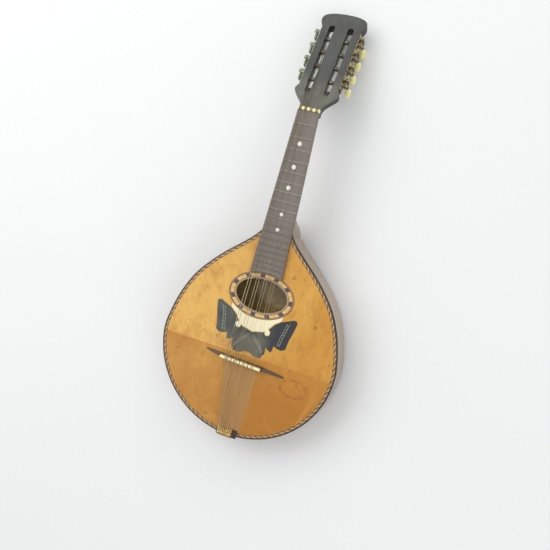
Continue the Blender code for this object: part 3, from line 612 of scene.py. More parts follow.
def edge_strip(section, s0=0.0, s1=None, step=2.5, y_cap=Y_JOIN - 0.02):
    """Sweep a (d, z, top?) section round the edge. z is measured from the soundboard's face, or from z=0 if top is False."""
    s1 = TOTAL if s1 is None else s1
    stops = [s for s in LEN if s0 <= s <= s1]
    if not stops or stops[0] > s0 + 1e-6:
        stops = [s0] + stops
    if stops[-1] < s1 - 1e-6:
        stops.append(s1)
    rings = []
    for s in stops:
        ring = []
        for d, z, top in section:
            x, y = on_edge(s, d)
            y = min(y, y_cap)
            ring.append((x, y, (surf(y) if top else 0.0) + z))
        rings.append(ring)
    return loft(rings)


# ================================================================ body
def cad(name, mat):
    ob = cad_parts[name]
    ob.data.materials.clear()
    ob.data.materials.append(mat)
    return ob


cad("soundboard", M["top"])
cad("back", M["back"])
for n in ("neck_block", "tail_block", "top_brace_1", "top_brace_2", "top_brace_3", "back_brace_1", "back_brace_2", "back_brace_3"):
    cad(n, M["inner"])
cad("fingerboard", M["board"])
cad("tail_saddle", M["black"])
cad("tuner_plate_bass", M["patina"])
cad("tuner_plate_treble", M["brass"])

mid = TOTAL / 2
for side, s0, s1 in (("bass", 0.0, mid - 0.05), ("treble", mid + 0.05, TOTAL)):
    ob = piece("rib_%s_shell" % side, edge_strip(((0.0, T_BACK + 0.02, False), (0.0, -T_TOP - 0.02, True), (T_RIB, -T_TOP - 0.02, True),
                                                   (T_RIB, T_BACK + 0.02, False)), s0, s1), M["side"])
    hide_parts("rib_" + side)
ob = piece("edge_binding_round", edge_strip(((0.0, -T_TOP, True), (0.0, -0.9, True), (0.12, -0.4, True), (0.4, -0.12, True),
                                             (0.9, 0.0, True), (BIND_W + 0.12, 0.0, True), (BIND_W + 0.12, -T_TOP, True))), M["black"])
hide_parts("edge_binding")

# purfling inside the binding: taupe line, brown bed with a rope of slanted tiles, dark line
piece("purfling_outer_line", edge_strip(((2.12, -0.1, True), (2.12, 0.04, True), (2.5, 0.04, True), (2.5, -0.1, True))), M["umber"])
piece("purfling_bed", edge_strip(((2.5, -0.1, True), (2.5, 0.05, True), (5.1, 0.05, True), (5.1, -0.1, True))), M["rope_bed"])
piece("purfling_inner_line", edge_strip(((5.1, -0.1, True), (5.1, 0.06, True), (5.6, 0.06, True), (5.6, -0.1, True))), M["black"])
rope = {"cream": bmesh.new(), "gold": bmesh.new(), "dark": bmesh.new()}
PITCH = 8.6
count = int(TOTAL / PITCH)
for i in range(count):
    s = (i + 0.05) * TOTAL / count
    for key, q0, w in (("cream", 0.0, 2.7), ("gold", 3.3, 2.6), ("dark", 6.4, 1.5)):
        top, bot = [], []
        left = [(s + q0 + 5.6 * (4.98 - d) / 2.36, d) for d in (4.98, 4.4, 3.8, 3.2, 2.62)]
        right = [(q + w, d) for q, d in left[::-1]]
        for q, d in left + right:
            x, y = on_edge(q, d)
            y = min(y, Y_JOIN - 0.1)
            top.append((x, y, surf(y) + 0.11))
            bot.append((x, y, surf(y) - 0.02))
        loft([bot, top], bm=rope[key])
for key, slot in (("cream", "cream_inlay"), ("gold", "cream_inlay"), ("dark", "black_edge")):
    piece("purfling_rope_" + key, rope[key], M["rope_" + key], smooth=0)

# ================================================================ rosette
def oval(f, n=160, z=0.0):
    a, b = HOLE_A + f * (ROS_A - HOLE_A), HOLE_B + f * (ROS_B - HOLE_B)
    return [(a * math.cos(TURN * k / n), HOLE_Y + b * math.sin(TURN * k / n), Z_TOP + z) for k in range(n)]


def ring_band(name, f0, f1, z, mat, low=-0.05):
    return piece(name, loft([oval(f0, z=low), oval(f0, z=z), oval(f1, z=z), oval(f1, z=low)], closed=True), mat)


hole_wall = loft([oval(0.0, z=-T_TOP - 0.05), oval(0.0, z=0.0), oval(0.01, z=0.17), oval(0.04, z=0.2), oval(0.08, z=0.2), oval(0.08, z=-0.02),
                  oval(0.02, z=-0.02), oval(0.02, z=-T_TOP - 0.05)], closed=True)
first = piece("rosette_inner_bead", hole_wall, M["bead"])
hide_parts("rosette")
ring_band("rosette_mauve_ring", 0.08, 0.25, 0.12, M["mauve"])
ring_band("rosette_bed", 0.25, 0.75, 0.10, M["plum"])
ring_band("rosette_brown_ring", 0.75, 0.82, 0.12, M["mauve"])
ring_band("rosette_dark_line_1", 0.82, 0.86, 0.14, M["black"])
ring_band("rosette_light_line", 0.86, 0.94, 0.12, M["tan"])
ring_band("rosette_dark_line_2", 0.94, 1.0, 0.14, M["black"])


def oval_angle(arc):
    """Parameter angle at a fraction of the way round the middle of the band."""
    return ARCS[int(arc * (len(ARCS) - 1)) % (len(ARCS) - 1)]


a_mid, b_mid = HOLE_A + 0.52 * (ROS_A - HOLE_A), HOLE_B + 0.52 * (ROS_B - HOLE_B)
acc, table = 0.0, [(0.0, 0.0)]
for k in range(1, 1441):
    t0, t1 = TURN * (k - 1) / 1440, TURN * k / 1440
    acc += math.hypot(a_mid * (math.cos(t1) - math.cos(t0)), b_mid * (math.sin(t1) - math.sin(t0)))
    table.append((acc, t1))
ARCS = []
j = 0
for k in range(2201):
    want = acc * k / 2200
    while j < len(table) - 2 and table[j + 1][0] < want:
        j += 1
    ARCS.append(table[j][1] + (table[j + 1][1] - table[j][1]) * (want - table[j][0]) / (table[j + 1][0] - table[j][0]))
blocks = {"gold": bmesh.new(), "plum": bmesh.new()}
for i in range(11):
    for key, a, b in (("plum", -0.155, 0.155), ("gold", 0.17, 0.494), ("gold", 0.506, 0.83)):
        f0, f1 = (i + a) / 11, (i + b) / 11
        inner, outer = [], []
        for q in range(7):
            t = oval_angle((f0 + (f1 - f0) * q / 6) % 1.0)
            for lst, f in ((inner, 0.26), (outer, 0.74)):
                lst.append(((HOLE_A + f * (ROS_A - HOLE_A)) * math.cos(t), HOLE_Y + (HOLE_B + f * (ROS_B - HOLE_B)) * math.sin(t)))
        poly = inner + outer[::-1]
        loft([[(x, y, Z_TOP + z) for x, y in poly] for z in (-0.02, 0.17)], bm=blocks[key])
for key, slot in (("gold", "cream_inlay"), ("plum", "black_inlay")):
    piece("rosette_blocks_" + key, blocks[key], M[key], smooth=0)

# ================================================================ pickguard
WING = ((0.0, -22.5), (5.0, -22.6), (9.0, -25.6), (15.0, -26.6), (20.5, -26.0), (21.6, -21.8), (24.3, -19.5), (24.6, -14.5),
        (23.8, -9.4), (29.0, -12.6), (33.2, -13.4), (34.4, -4.4), (41.0, -6.8), (46.5, -7.2), (51.4, -4.0), (52.2, 3.0),
        (53.2, 9.6), (56.2, 20.5), (58.8, 33.6), (57.4, 36.8), (53.6, 37.4), (44.0, 33.2), (37.0, 30.2), (28.9, 24.0),
        (22.2, 14.8), (16.2, 9.4), (7.2, 7.6), (0.0, 5.6))
CREST = ((37.0, 31.2), (28.2, 24.6), (21.6, 15.6), (15.8, 10.2), (7.1, 8.4), (0.0, 6.4))


def mirror(half):
    return list(half) + [(-x, y) for x, y in half[::-1] if x > 0.01]


def plate(name, poly, z0, z1, mat, bevel=0.16):
    return piece(name, loft([[(x, y, surf(y) + z) for x, y in poly] for z in (z0, z1)]), mat, bevel=bevel)


ob = plate("pickguard_wing_plate", mirror(WING), 0.02, 0.5, M["wing"])
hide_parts("pickguard_wings")
top = []
for k in range(17):
    x = 37.5 * k / 16
    top.append((x, HOLE_Y - (ROS_B + 0.1) * math.sqrt(1 - (x / (ROS_A + 0.1)) ** 2)))
ob = plate("pickguard_centre_plate", mirror(top + list(CREST)), 0.02, 0.52, M["cream"])
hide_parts("pickguard_body")


def engraved(name, lines, r, mat, z=0.5):
    bm = bmesh.new()
    for pts in lines:
        fine = catmull(pts, 6) if len(pts) > 2 else list(pts)
        sweep([(x, y, surf(y) + z) for x, y in fine], r, 6, bm=bm)
    return piece(name, bm, mat)


veins = []
for sx in (-1, 1):
    for dx in (0.0, 3.4):
        veins.append([(sx * (38.5 + dx), -3.6), (sx * (40.3 + dx), 6.0), (sx * (42.8 + dx), 18.0), (sx * (46.0 + dx), 31.0)])
    for k in range(7):
        y = -1.0 + 4.6 * k
        x = 38.9 + 0.215 * (y + 3.6)
        veins.append([(sx * (x + 0.5), y), (sx * (x + 2.9), y + 1.2)])
    for dy in (0.0, 3.0):
        veins.append([(sx * 3.0, 2.0 - dy), (sx * 9.0, -3.2 - dy), (sx * 15.5, -9.5 - dy), (sx * 20.8, -17.0 - dy)])
engraved("pickguard_veins", veins, 0.2, M["vein"])
knobs = bmesh.new()
for sx in (-1, 1):
    rings = []
    for h, r in ((-0.3, 3.9), (0.1, 4.0), (0.34, 3.8), (0.46, 3.3), (0.5, 1.2)):
        rings.append([(sx * 21.4 + x * 0.95, 10.6 + y * 1.1, surf(10.6) + 0.5 + h * 0.6) for x, y in circle(36, r)])
    loft(rings, bm=knobs)
piece("pickguard_knobs", knobs, M["cream"])

# ================================================================ neck
def neck_half(y):
    return NUT_HALF + (JOIN_HALF - NUT_HALF) * (Y_NUT - y) / (SCALE / 2)


NECK_TABLE = ((Y_JOIN + 0.06, 53.2, 23.0, 23.45, 0.24), (148.5, 53.1, 21.4, 22.2, 0.24), (153.0, 52.8, 20.4, 20.6, 0.26),
              (157.5, 52.3, 20.0, 18.6, 0.29), (161.5, 51.3, 19.8, 16.3, 0.34), (165.0, 49.5, 19.6, 13.9, 0.42), (168.0, 46.4, 19.4, 12.0, 0.54),
              (170.2, 41.0, 19.3, 11.6, 0.66), (172.6, 34.4, 19.1, 12.8, 0.78), (175.6, 28.4, 18.9, 15.2, 0.88), (179.5, 23.4, 18.7, 17.4, 0.96),
              (184.5, 20.3, 18.4, 18.2, 1.0), (191.0, 18.6, 18.6, 18.6, 1.0), (230.0, 17.0, 17.3, 17.3, 1.0), (270.0, 15.9, 15.9, 15.9, 1.0),
              (300.0, 15.2, 14.8, 14.8, 1.0), (NECK_END, 14.4, 14.3, 14.3, 1.0))
rings = []
ys = [Y_JOIN + 0.06 + 0.6 * k for k in range(78)] + [191.0 + 5.0 * k for k in range(25)] + [NECK_END]
for y in ys:
    depth, w_top, w_low, e = interp(NECK_TABLE, y)
    zt = Z_TOP - 0.02
    ring = [(w_top, y, zt)]
    n = 44
    for k in range(n + 1):
        a = math.pi * k / n
        c, sn = math.cos(a), math.sin(a) if 0 < k < n else 0.0
        f = sn ** e
        ring.append(((w_top + (w_low - w_top) * f) * (abs(c) ** e) * (1 if c >= 0 else -1), y, zt - 1.5 - (depth - 1.5) * f))
    ring.append((-w_top, y, zt))
    rings.append(ring)
ob = piece("neck_shaft", loft(rings), M["neck"])
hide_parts("neck")

# ---------------------------------------------------------------- head
HEAD_LOW = ((0.6, 14.6), (5.0, 14.6), (9.0, 15.6), (14.0, 18.4), (19.5, 23.0), (24.5, 27.2), (28.5, 30.2), (32.5, 31.2),
            (36.0, 30.0), (39.5, HEAD_SIDE))
HEAD_TOP = ((138.0, HEAD_SIDE), (142.0, 28.8), (146.0, 30.8), (150.0, 32.3), (154.0, 32.8), (157.8, 32.0), (161.2, 29.2),
            (164.2, 23.4), (166.4, 13.4), (167.2, 0.0))


def head_poly(s0, grow=0.0, scoop=0.0):
    """Head outline above s0, drawn in by grow all round and by scoop at the ears and throat."""
    right = [(w, s) for s, w in catmull(HEAD_LOW, 6)] + [(w, s) for s, w in catmull(HEAD_TOP, 6)]
    right = [(w - grow * min(1.0, w / 6.0) - scoop * max(0.0, min(1.0, (40.0 - s) / 16.0)) * max(0.0, min(1.0, (s - 4.0) / 14.0)),
              s - grow * max(0.0, min(1.0, (s - 158.0) / 6.0))) for w, s in right if s > s0 + 0.3]
    right = [(14.6 - grow, s0)] + [(max(0.0, w), s) for w, s in right]
    right[-1] = (0.0, right[-1][1])
    return right + [(-x, s) for x, s in right[::-1] if x > 0.01]


def slot_cutter(extra=0.0):
    bm = bmesh.new()
    r = SLOT_W / 2 + extra
    for sx in (-1, 1):
        poly = [(sx * SLOT_X + r * math.cos(a), SLOT_S1 - 4.2 + r * math.sin(a)) for a in (math.pi * k / 16 for k in range(17))]
        poly += [(sx * SLOT_X - r * math.cos(a), SLOT_S0 + 4.2 - r * math.sin(a)) for a in (math.pi * k / 16 for k in range(17))]
        loft([[head(x, s, h) for x, s in poly] for h in (-20.0, 5.0)], bm=bm)
    return bm


def ramp_cutter():
    """Sloping lead-in at the nut end of each slot, hollowed like a gouge cut."""
    bm = bmesh.new()
    for sx in (-1, 1):
        rings = []
        for s, depth, w in ((23.5, -0.3, 2.0), (26.0, 0.35, 3.0), (29.5, 1.35, 3.5), (34.0, 2.75, 3.7), (SLOT_S0 + 3.0, 4.5, 3.75)):
            ring = [(sx * SLOT_X + w, s, 3.0)]
            for k in range(13):
                c, f = math.cos(math.pi * k / 12), math.sin(math.pi * k / 12) ** 0.5 if 0 < k < 12 else 0.0
                ring.append((sx * SLOT_X + w * c, s, 0.3 - (depth + 0.3) * f))
            ring.append((sx * SLOT_X - w, s, 3.0))
            rings.append([head(*q) for q in ring])
        loft(rings, bm=bm)
    return bm


def bore_cutter():
    bm = bmesh.new()
    for i in range(4):
        for sx in (-1, 1):
            ring = circle(28, BORE_R)
            loft([[head(sx * x, ROLLER_S0 + ROLLER_PITCH * i + u, ROLLER_H + v) for u, v in ring] for x in (5.0, 31.0)], bm=bm)
    return bm


core = loft([[head(x, s, h) for x, s in head_poly(0.6, g, k)] for h, g, k in (
    (-HEAD_T, 1.3, 4.0), (-HEAD_T + 0.3, 0.6, 3.8), (-HEAD_T + 0.9, 0.2, 3.2), (-HEAD_T + 2.2, 0.0, 2.2), (-HEAD_T + 3.8, 0.0, 1.2),
    (-HEAD_T + 5.5, 0.0, 0.5), (-HEAD_T + 7.5, 0.0, 0.1), (-VENEER - 0.02, 0.0, 0.0))])
core = boolean(core, slot_cutter(), "DIFFERENCE")
core = boolean(core, bore_cutter(), "DIFFERENCE")
core = boolean(core, ramp_cutter(), "DIFFERENCE")
ob = piece("head_core", core, M["stain"])
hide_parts("neck")
ven = loft([[head(x, s, h) for x, s in head_poly(4.9, g)] for h, g in ((-VENEER, 0.0), (-0.55, 0.0), (-0.25, 0.1), (-0.07, 0.32), (0.0, 0.65))])
ven = boolean(ven, slot_cutter(), "DIFFERENCE")
ven = boolean(ven, ramp_cutter(), "DIFFERENCE")
ob = piece("head_face", ven, M["lacquer"])
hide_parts("head_veneer")

# ---------------------------------------------------------------- frets and dots
bm = bmesh.new()
for n in range(1, FRETS + 1):
    y = Y_NUT - SCALE * (1 - 2 ** (-n / 12))
    w = neck_half(y) - 0.1
    prof = [(0.78 * math.cos(a), Z_FB + 0.93 * math.sin(a) ** 0.8) for a in (math.pi * k / 10 for k in range(11))]
    prof = [(0.78, Z_FB - 0.3)] + prof + [(-0.78, Z_FB - 0.3)]
    rings = []
    for x, q in ((-w, 0.45), (-w + 0.35, 0.85), (-w + 0.9, 1.0), (w - 0.9, 1.0), (w - 0.35, 0.85), (w, 0.45)):
        rings.append([(x, y + dy, Z_FB + (z - Z_FB) * (q if z > Z_FB else 1.0)) for dy, z in prof])
    loft(rings, bm=bm)
piece("fret_wires", bm, M["fret"])
bm = bmesh.new()
for n in (3, 5, 7, 10, 12):
    y = Y_NUT - SCALE * (1 - (2 ** (-n / 12) + 2 ** (-(n - 1) / 12)) / 2)
    r = 3.0 if n < 9 else 2.5
    loft([[(a, y + b, Z_FB + h) for a, b in circle(32, q)] for q, h in ((r, -0.2), (r, 0.03), (r - 0.15, 0.07), (r * 0.5, 0.1))], bm=bm)
piece("position_dots", bm, M["pearl"])

# ---------------------------------------------------------------- nut
prof = ((NUT_Y0, Z_TOP + 0.1), (NUT_Y1, Z_TOP + 0.1), (NUT_Y1, 59.2), (NUT_Y1 - 0.35, 59.9), (NUT_Y1 - 1.2, 60.4), (NUT_Y1 - 2.6, 60.6),
        (NUT_Y0 + 0.7, 60.65), (NUT_Y0 + 0.15, 60.45), (NUT_Y0, 60.0))
nut = loft([[(x, y, z) for y, z in prof] for x in (-NUT_HALF, NUT_HALF)])
cut = bmesh.new()
for x, r in zip(X_AT_NUT, STRING_R):
    ring = [(x - r - 0.25, 62.5), (x - r - 0.2, Z_NUT_SLOT + r)] + \
           [(x - (r + 0.2) * math.cos(a), Z_NUT_SLOT + r - (r + 0.15) * math.sin(a)) for a in (math.pi * k / 8 for k in range(1, 8))] + \
           [(x + r + 0.2, Z_NUT_SLOT + r), (x + r + 0.25, 62.5)]
    loft([[(px, y, pz) for px, pz in ring] for y in (NUT_Y0 - 1, NUT_Y1 + 1)], bm=cut)


def nut_mat():
    m = Mat("bone_nut", lin(244, 232, 176), 0.35, coat=0.3)
    x, y, z = m.xyz()
    n = m.noise(m.scaled(500, 500, 500), 3, 0.6)
    c = m.mix(n, lin(248, 240, 186), lin(222, 202, 130))
    near = 1.0
    for k in range(0, 8, 2):
        mid = (X_AT_NUT[k] + X_AT_NUT[k + 1]) / 2 * MM
        near = m.math("MINIMUM", near, m.math("ABSOLUTE", m.math("SUBTRACT", x, mid)))
    c = m.mix(m.math("MULTIPLY", m.mask(near, 0.0024, 0.0013), 0.85), c, m.mix(n, lin(128, 104, 52), lin(96, 76, 44)))
    m.colour(c)
    return m.m


ob = piece("nut_slotted", boolean(nut, cut, "DIFFERENCE"), nut_mat())
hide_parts("nut")

# ================================================================ bridge
B0, B1 = -57.5, 59.5
BRIDGE_LINE = ((B0, -34.6), (SADDLE0, -37.3), (-3.0, -38.6), (SADDLE1, -39.8), (B1, -42.2))


def bridge_y(x):
    for (x0, y0), (x1, y1) in zip(BRIDGE_LINE, BRIDGE_LINE[1:]):
        if x <= x1:
            return y0 + (y1 - y0) * (x - x0) / (x1 - x0)
    return BRIDGE_LINE[-1][1]


BRIDGE = ((B0, 1.3, 1.7, 0.8), (B0 + 4.0, 2.2, 2.9, 1.6), (B0 + 14.0, 2.9, 4.3, 2.6), (SADDLE0 - 5.0, 3.7, 5.1, 3.2), (SADDLE0 - 1.8, 4.6, 5.5, 4.0),
          (SADDLE0 - 0.4, 7.2, 6.0, 4.5), (SADDLE0 + 1.0, 7.8, 6.2, 4.8), (SADDLE1 - 1.0, 7.8, 6.2, 4.8), (SADDLE1 + 0.4, 7.2, 6.0, 4.5),
          (SADDLE1 + 1.8, 4.6, 5.5, 4.0), (SADDLE1 + 5.0, 3.7, 5.1, 3.2), (B1 - 14.0, 2.9, 4.3, 2.6), (B1 - 4.0, 2.2, 2.9, 1.6), (B1, 1.3, 1.7, 0.8))
rings = []
xs = sorted(set([r[0] for r in BRIDGE] + [B0 + (B1 - B0) * k / 90 for k in range(91)]))
for x in xs:
    h, w0, w1 = interp(BRIDGE, x)
    yb = bridge_y(x)
    z1 = surf(Y_BRIDGE) + h
    c = min(0.6, h * 0.3)
    ring = [(x, y, surf(y) + 0.05) for y in (yb - w0 / 2, yb + w0 / 2)]
    ring += [(x, yb + w0 / 2, surf(yb + w0 / 2) + c), (x, yb + w1 / 2 + 0.25, z1 - c), (x, yb + w1 / 2 - 0.35, z1),
             (x, yb - w1 / 2 + 0.35, z1), (x, yb - w1 / 2 - 0.25, z1 - c), (x, yb - w0 / 2, surf(yb - w0 / 2) + c)]
    rings.append(ring)
ob = piece("bridge_base", loft(rings), M["bridge"], smooth=50)
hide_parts("bridge")
zb = surf(Y_BRIDGE) + 7.4
rings = []
n = 300
for k in range(n + 1):
    x = SADDLE0 + 0.4 + (SADDLE1 - SADDLE0 - 0.8) * k / n
    near = min(range(8), key=lambda i: abs(x - X_AT_BRIDGE[i]))
    r = STRING_R[near]
    dx = abs(x - X_AT_BRIDGE[near])
    gap = min(abs(x - (X_AT_BRIDGE[i] + X_AT_BRIDGE[i + 1]) / 2) for i in (1, 3, 5))
    yb = bridge_y(x)
    zt = Z_SADDLE + (0.0 if dx < r + 0.3 else 0.5)
    deep = 2.6 if gap < 0.55 else 0.0
    wide = 1.9 - (0.35 if deep else 0.0)
    rings.append([(x, yb + y, z) for y, z in ((-1.9, zb), (1.9, zb), (wide, zt - 0.9 - deep), (wide - 0.5, zt - 0.2 - deep), (0.45, zt - deep),
                                              (-0.45, zt - deep), (-wide + 0.5, zt - 0.2 - deep), (-wide, zt - 0.9 - deep))])


def marked_bone(name, places, inner, outer, strength):
    """Bone browned close to the given x places."""
    m = Mat(name, lin(244, 232, 176), 0.35, coat=0.3)
    x, y, z = m.xyz()
    n = m.noise(m.scaled(500, 500, 500), 3, 0.6)
    c = m.mix(n, lin(250, 242, 192), lin(228, 210, 146))
    near = 1.0
    for v in places:
        near = m.math("MINIMUM", near, m.math("ABSOLUTE", m.math("SUBTRACT", x, v * MM)))
    c = m.mix(m.math("MULTIPLY", m.mask(near, outer, inner), strength), c, m.mix(n, lin(120, 96, 54), lin(92, 74, 46)))
    m.colour(c)
    return m.m


marks = [(X_AT_BRIDGE[i] + X_AT_BRIDGE[i + 1]) / 2 for i in range(7)]
ob = piece("saddle_notched", loft(rings), marked_bone("bone_saddle", marks, 0.0004, 0.0010, 0.8), smooth=30)
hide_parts("bridge_saddle")

# ================================================================ tailpiece
TP_X0, TP_X1 = -15.0, 7.2
prof = [(y, surf(y) + dz) for y, dz in ((-136.6, 2.4), (-136.6, 3.0), (-136.9, 3.4), (-137.6, 3.4))] + \
       [(y, surf(y) + 3.4) for y in (-139.0, -141.0, -143.5, -146.0)] + \
       [(-147.6, surf(-147.6) + 3.1), (-148.3, surf(-148.3) + 2.4), (-148.6, surf(-148.6) + 1.2), (-148.6, 40.0), (-148.6, 28.4), (-148.4, 27.3),
        (-147.8, 27.1), (-147.6, 28.0), (-147.6, 40.0), (-147.6, surf(-147.6) + 2.3), (-142.0, surf(-142.0) + 2.4), (-139.0, surf(-139.0) + 2.4)]
xs = [TP_X0 + (TP_X1 - TP_X0) * k / 12 for k in range(13)]
tp = loft([[(x, y, z) for y, z in prof] for x in xs])
hook = bmesh.new()
for i, x in enumerate(X_AT_TAIL):
    base = surf(HOOK_Y) + 2.9
    path = [(x, HOOK_Y + 0.2, base), (x, HOOK_Y + 0.15, base + 1.4), (x, HOOK_Y - 0.1, base + 2.3), (x, HOOK_Y - 0.7, base + 3.0), (x, HOOK_Y - 1.5, base + 3.25),
            (x, HOOK_Y - 2.3, base + 2.9)]
    sweep(path, 0.62, 10, bm=hook, taper=lambda t: 1.0 - 0.35 * t)
ob = piece("tailpiece_plate", tp, M["dull_gilt"], bevel=0.25)
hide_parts("tailpiece")
piece("tailpiece_hooks", hook, M["gilt"])
ob = piece("end_button_turned", loft([[(a, y, 17.0 + b) for a, b in circle(40, r)] for y, r in (
    (Y_TAIL - 0.05, 4.5), (-146.6, 4.6), (-147.4, 4.5), (-148.0, 3.6), (-148.8, 3.05), (-150.0, 2.9), (-151.2, 3.0), (-152.0, 3.6), (-152.8, 4.6),
    (-153.8, 5.15), (-155.0, 5.2), (-156.0, 4.8), (-156.7, 3.8), (-157.0, 2.0))]), M["black"])
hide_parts("end_button")

# ================================================================ strings
for i, name in enumerate(NAMES):
    r = STRING_R[i]
    k, xr = ROLLER_FOR[i] if i < 4 else ROLLER_FOR[7 - i]
    if i >= 4:
        xr = -xr
    s = ROLLER_S0 + ROLLER_PITCH * k
    zn = Z_NUT_SLOT + r
    zt = surf(HOOK_Y) + 4.4
    x0 = X_AT_TAIL[i]
    mat = M["bronze"] if i < 4 else M["steel"]
    slot = "wound_string" if i < 4 else "plain_string"
    yb = bridge_y(X_AT_BRIDGE[i])
    path = [(x0, HOOK_Y + 1.2, zt), (X_AT_BRIDGE[i], yb - 1.0, Z_SADDLE + 0.05 + r), (X_AT_BRIDGE[i], yb + 1.0, Z_SADDLE + 0.05 + r),
            (X_AT_NUT[i], NUT_Y0 + 0.6, zn + 0.05), (X_AT_NUT[i], NUT_Y1 - 0.8, zn), head(xr, s - 1.5, ROLLER_H + ROLLER_R + 0.3 + r),
            head(xr, s + 0.3, ROLLER_H + ROLLER_R + 0.22 + r)]
    fine = []
    for a, b in zip(path, path[1:]):
        a, b = Vector(a), Vector(b)
        m = max(1, int((b - a).length / 20))
        fine += [tuple(a.lerp(b, q / m)) for q in range(m)]
    fine.append(path[-1])
    bm = sweep(fine, r, 10)
    # loop round the tailpiece hook, and the twist that closes it
    lp = [(x0 + 1.05 * math.sin(a), HOOK_Y + 0.35 - 1.25 * math.cos(a) * (1 if math.cos(a) > 0 else 1.0), zt + 0.12 * math.sin(a)) for a in
          (TURN * q / 20 + math.pi for q in range(21))]
    sweep(lp, max(0.16, r * 0.6), 6, bm=bm)
    d = (Vector(path[1]) - Vector(path[0])).normalized()
    e1 = d.cross(Vector((0, 0, 1))).normalized()
    e2 = e1.cross(d)
    tw = []
    for q in range(73):
        a = TURN * q / 9
        p = Vector(path[0]) + d * (q * 0.15) + (e1 * math.cos(a) + e2 * math.sin(a)) * (r + 0.16)
        tw.append(tuple(p))
    sweep(tw, 0.17, 5, bm=bm)
    ob = piece("string_%s_wire" % name, bm, mat)
    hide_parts("string_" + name)
    # turns on the post
    pitch = 2 * r + 0.08
    turns = 5
    toward = -1 if xr < 0 else 1
    wind = []
    for q in range(turns * 18 + 1):
        a = math.pi / 2 - TURN * q / 18
        rr = ROLLER_R + r + 0.04
        wind.append(head(xr + toward * pitch * q / 18, s + rr * math.cos(a), ROLLER_H + rr * math.sin(a)))
    for q in range(1, 9):
        a = math.pi / 2 - TURN * q / 18
        rr = (ROLLER_R + r) * (1 - q / 9)
        wind.append(head(xr + toward * pitch * (turns + 0.3), s + rr * math.cos(a), ROLLER_H + rr * math.sin(a)))
    piece("winding_" + name, sweep(wind, r, 7), mat, body="post_" + name, origin=head(0, s, ROLLER_H))

# ================================================================ tuners
def gear_outline(r_tip, r_root):
    pts = []
    for k in range(TEETH):
        a = TURN * (k + 0.5) / TEETH
        for da, r in ((-0.148, r_root), (-0.10, r_root + 0.28 * (r_tip - r_root)), (-0.06, r_tip - 0.12), (-0.045, r_tip),
                      (0.045, r_tip), (0.06, r_tip - 0.12), (0.10, r_root + 0.28 * (r_tip - r_root)), (0.148, r_root)):
            pts.append((r * math.cos(a + da), r * math.sin(a + da)))
    return pts


def lathe(place, prof, n=32, bm=None):
    """Turned shape: prof is (position along the axis, radius)."""
    return loft([[place(x, u, v) for u, v in circle(n, r)] for x, r in prof], bm=bm)


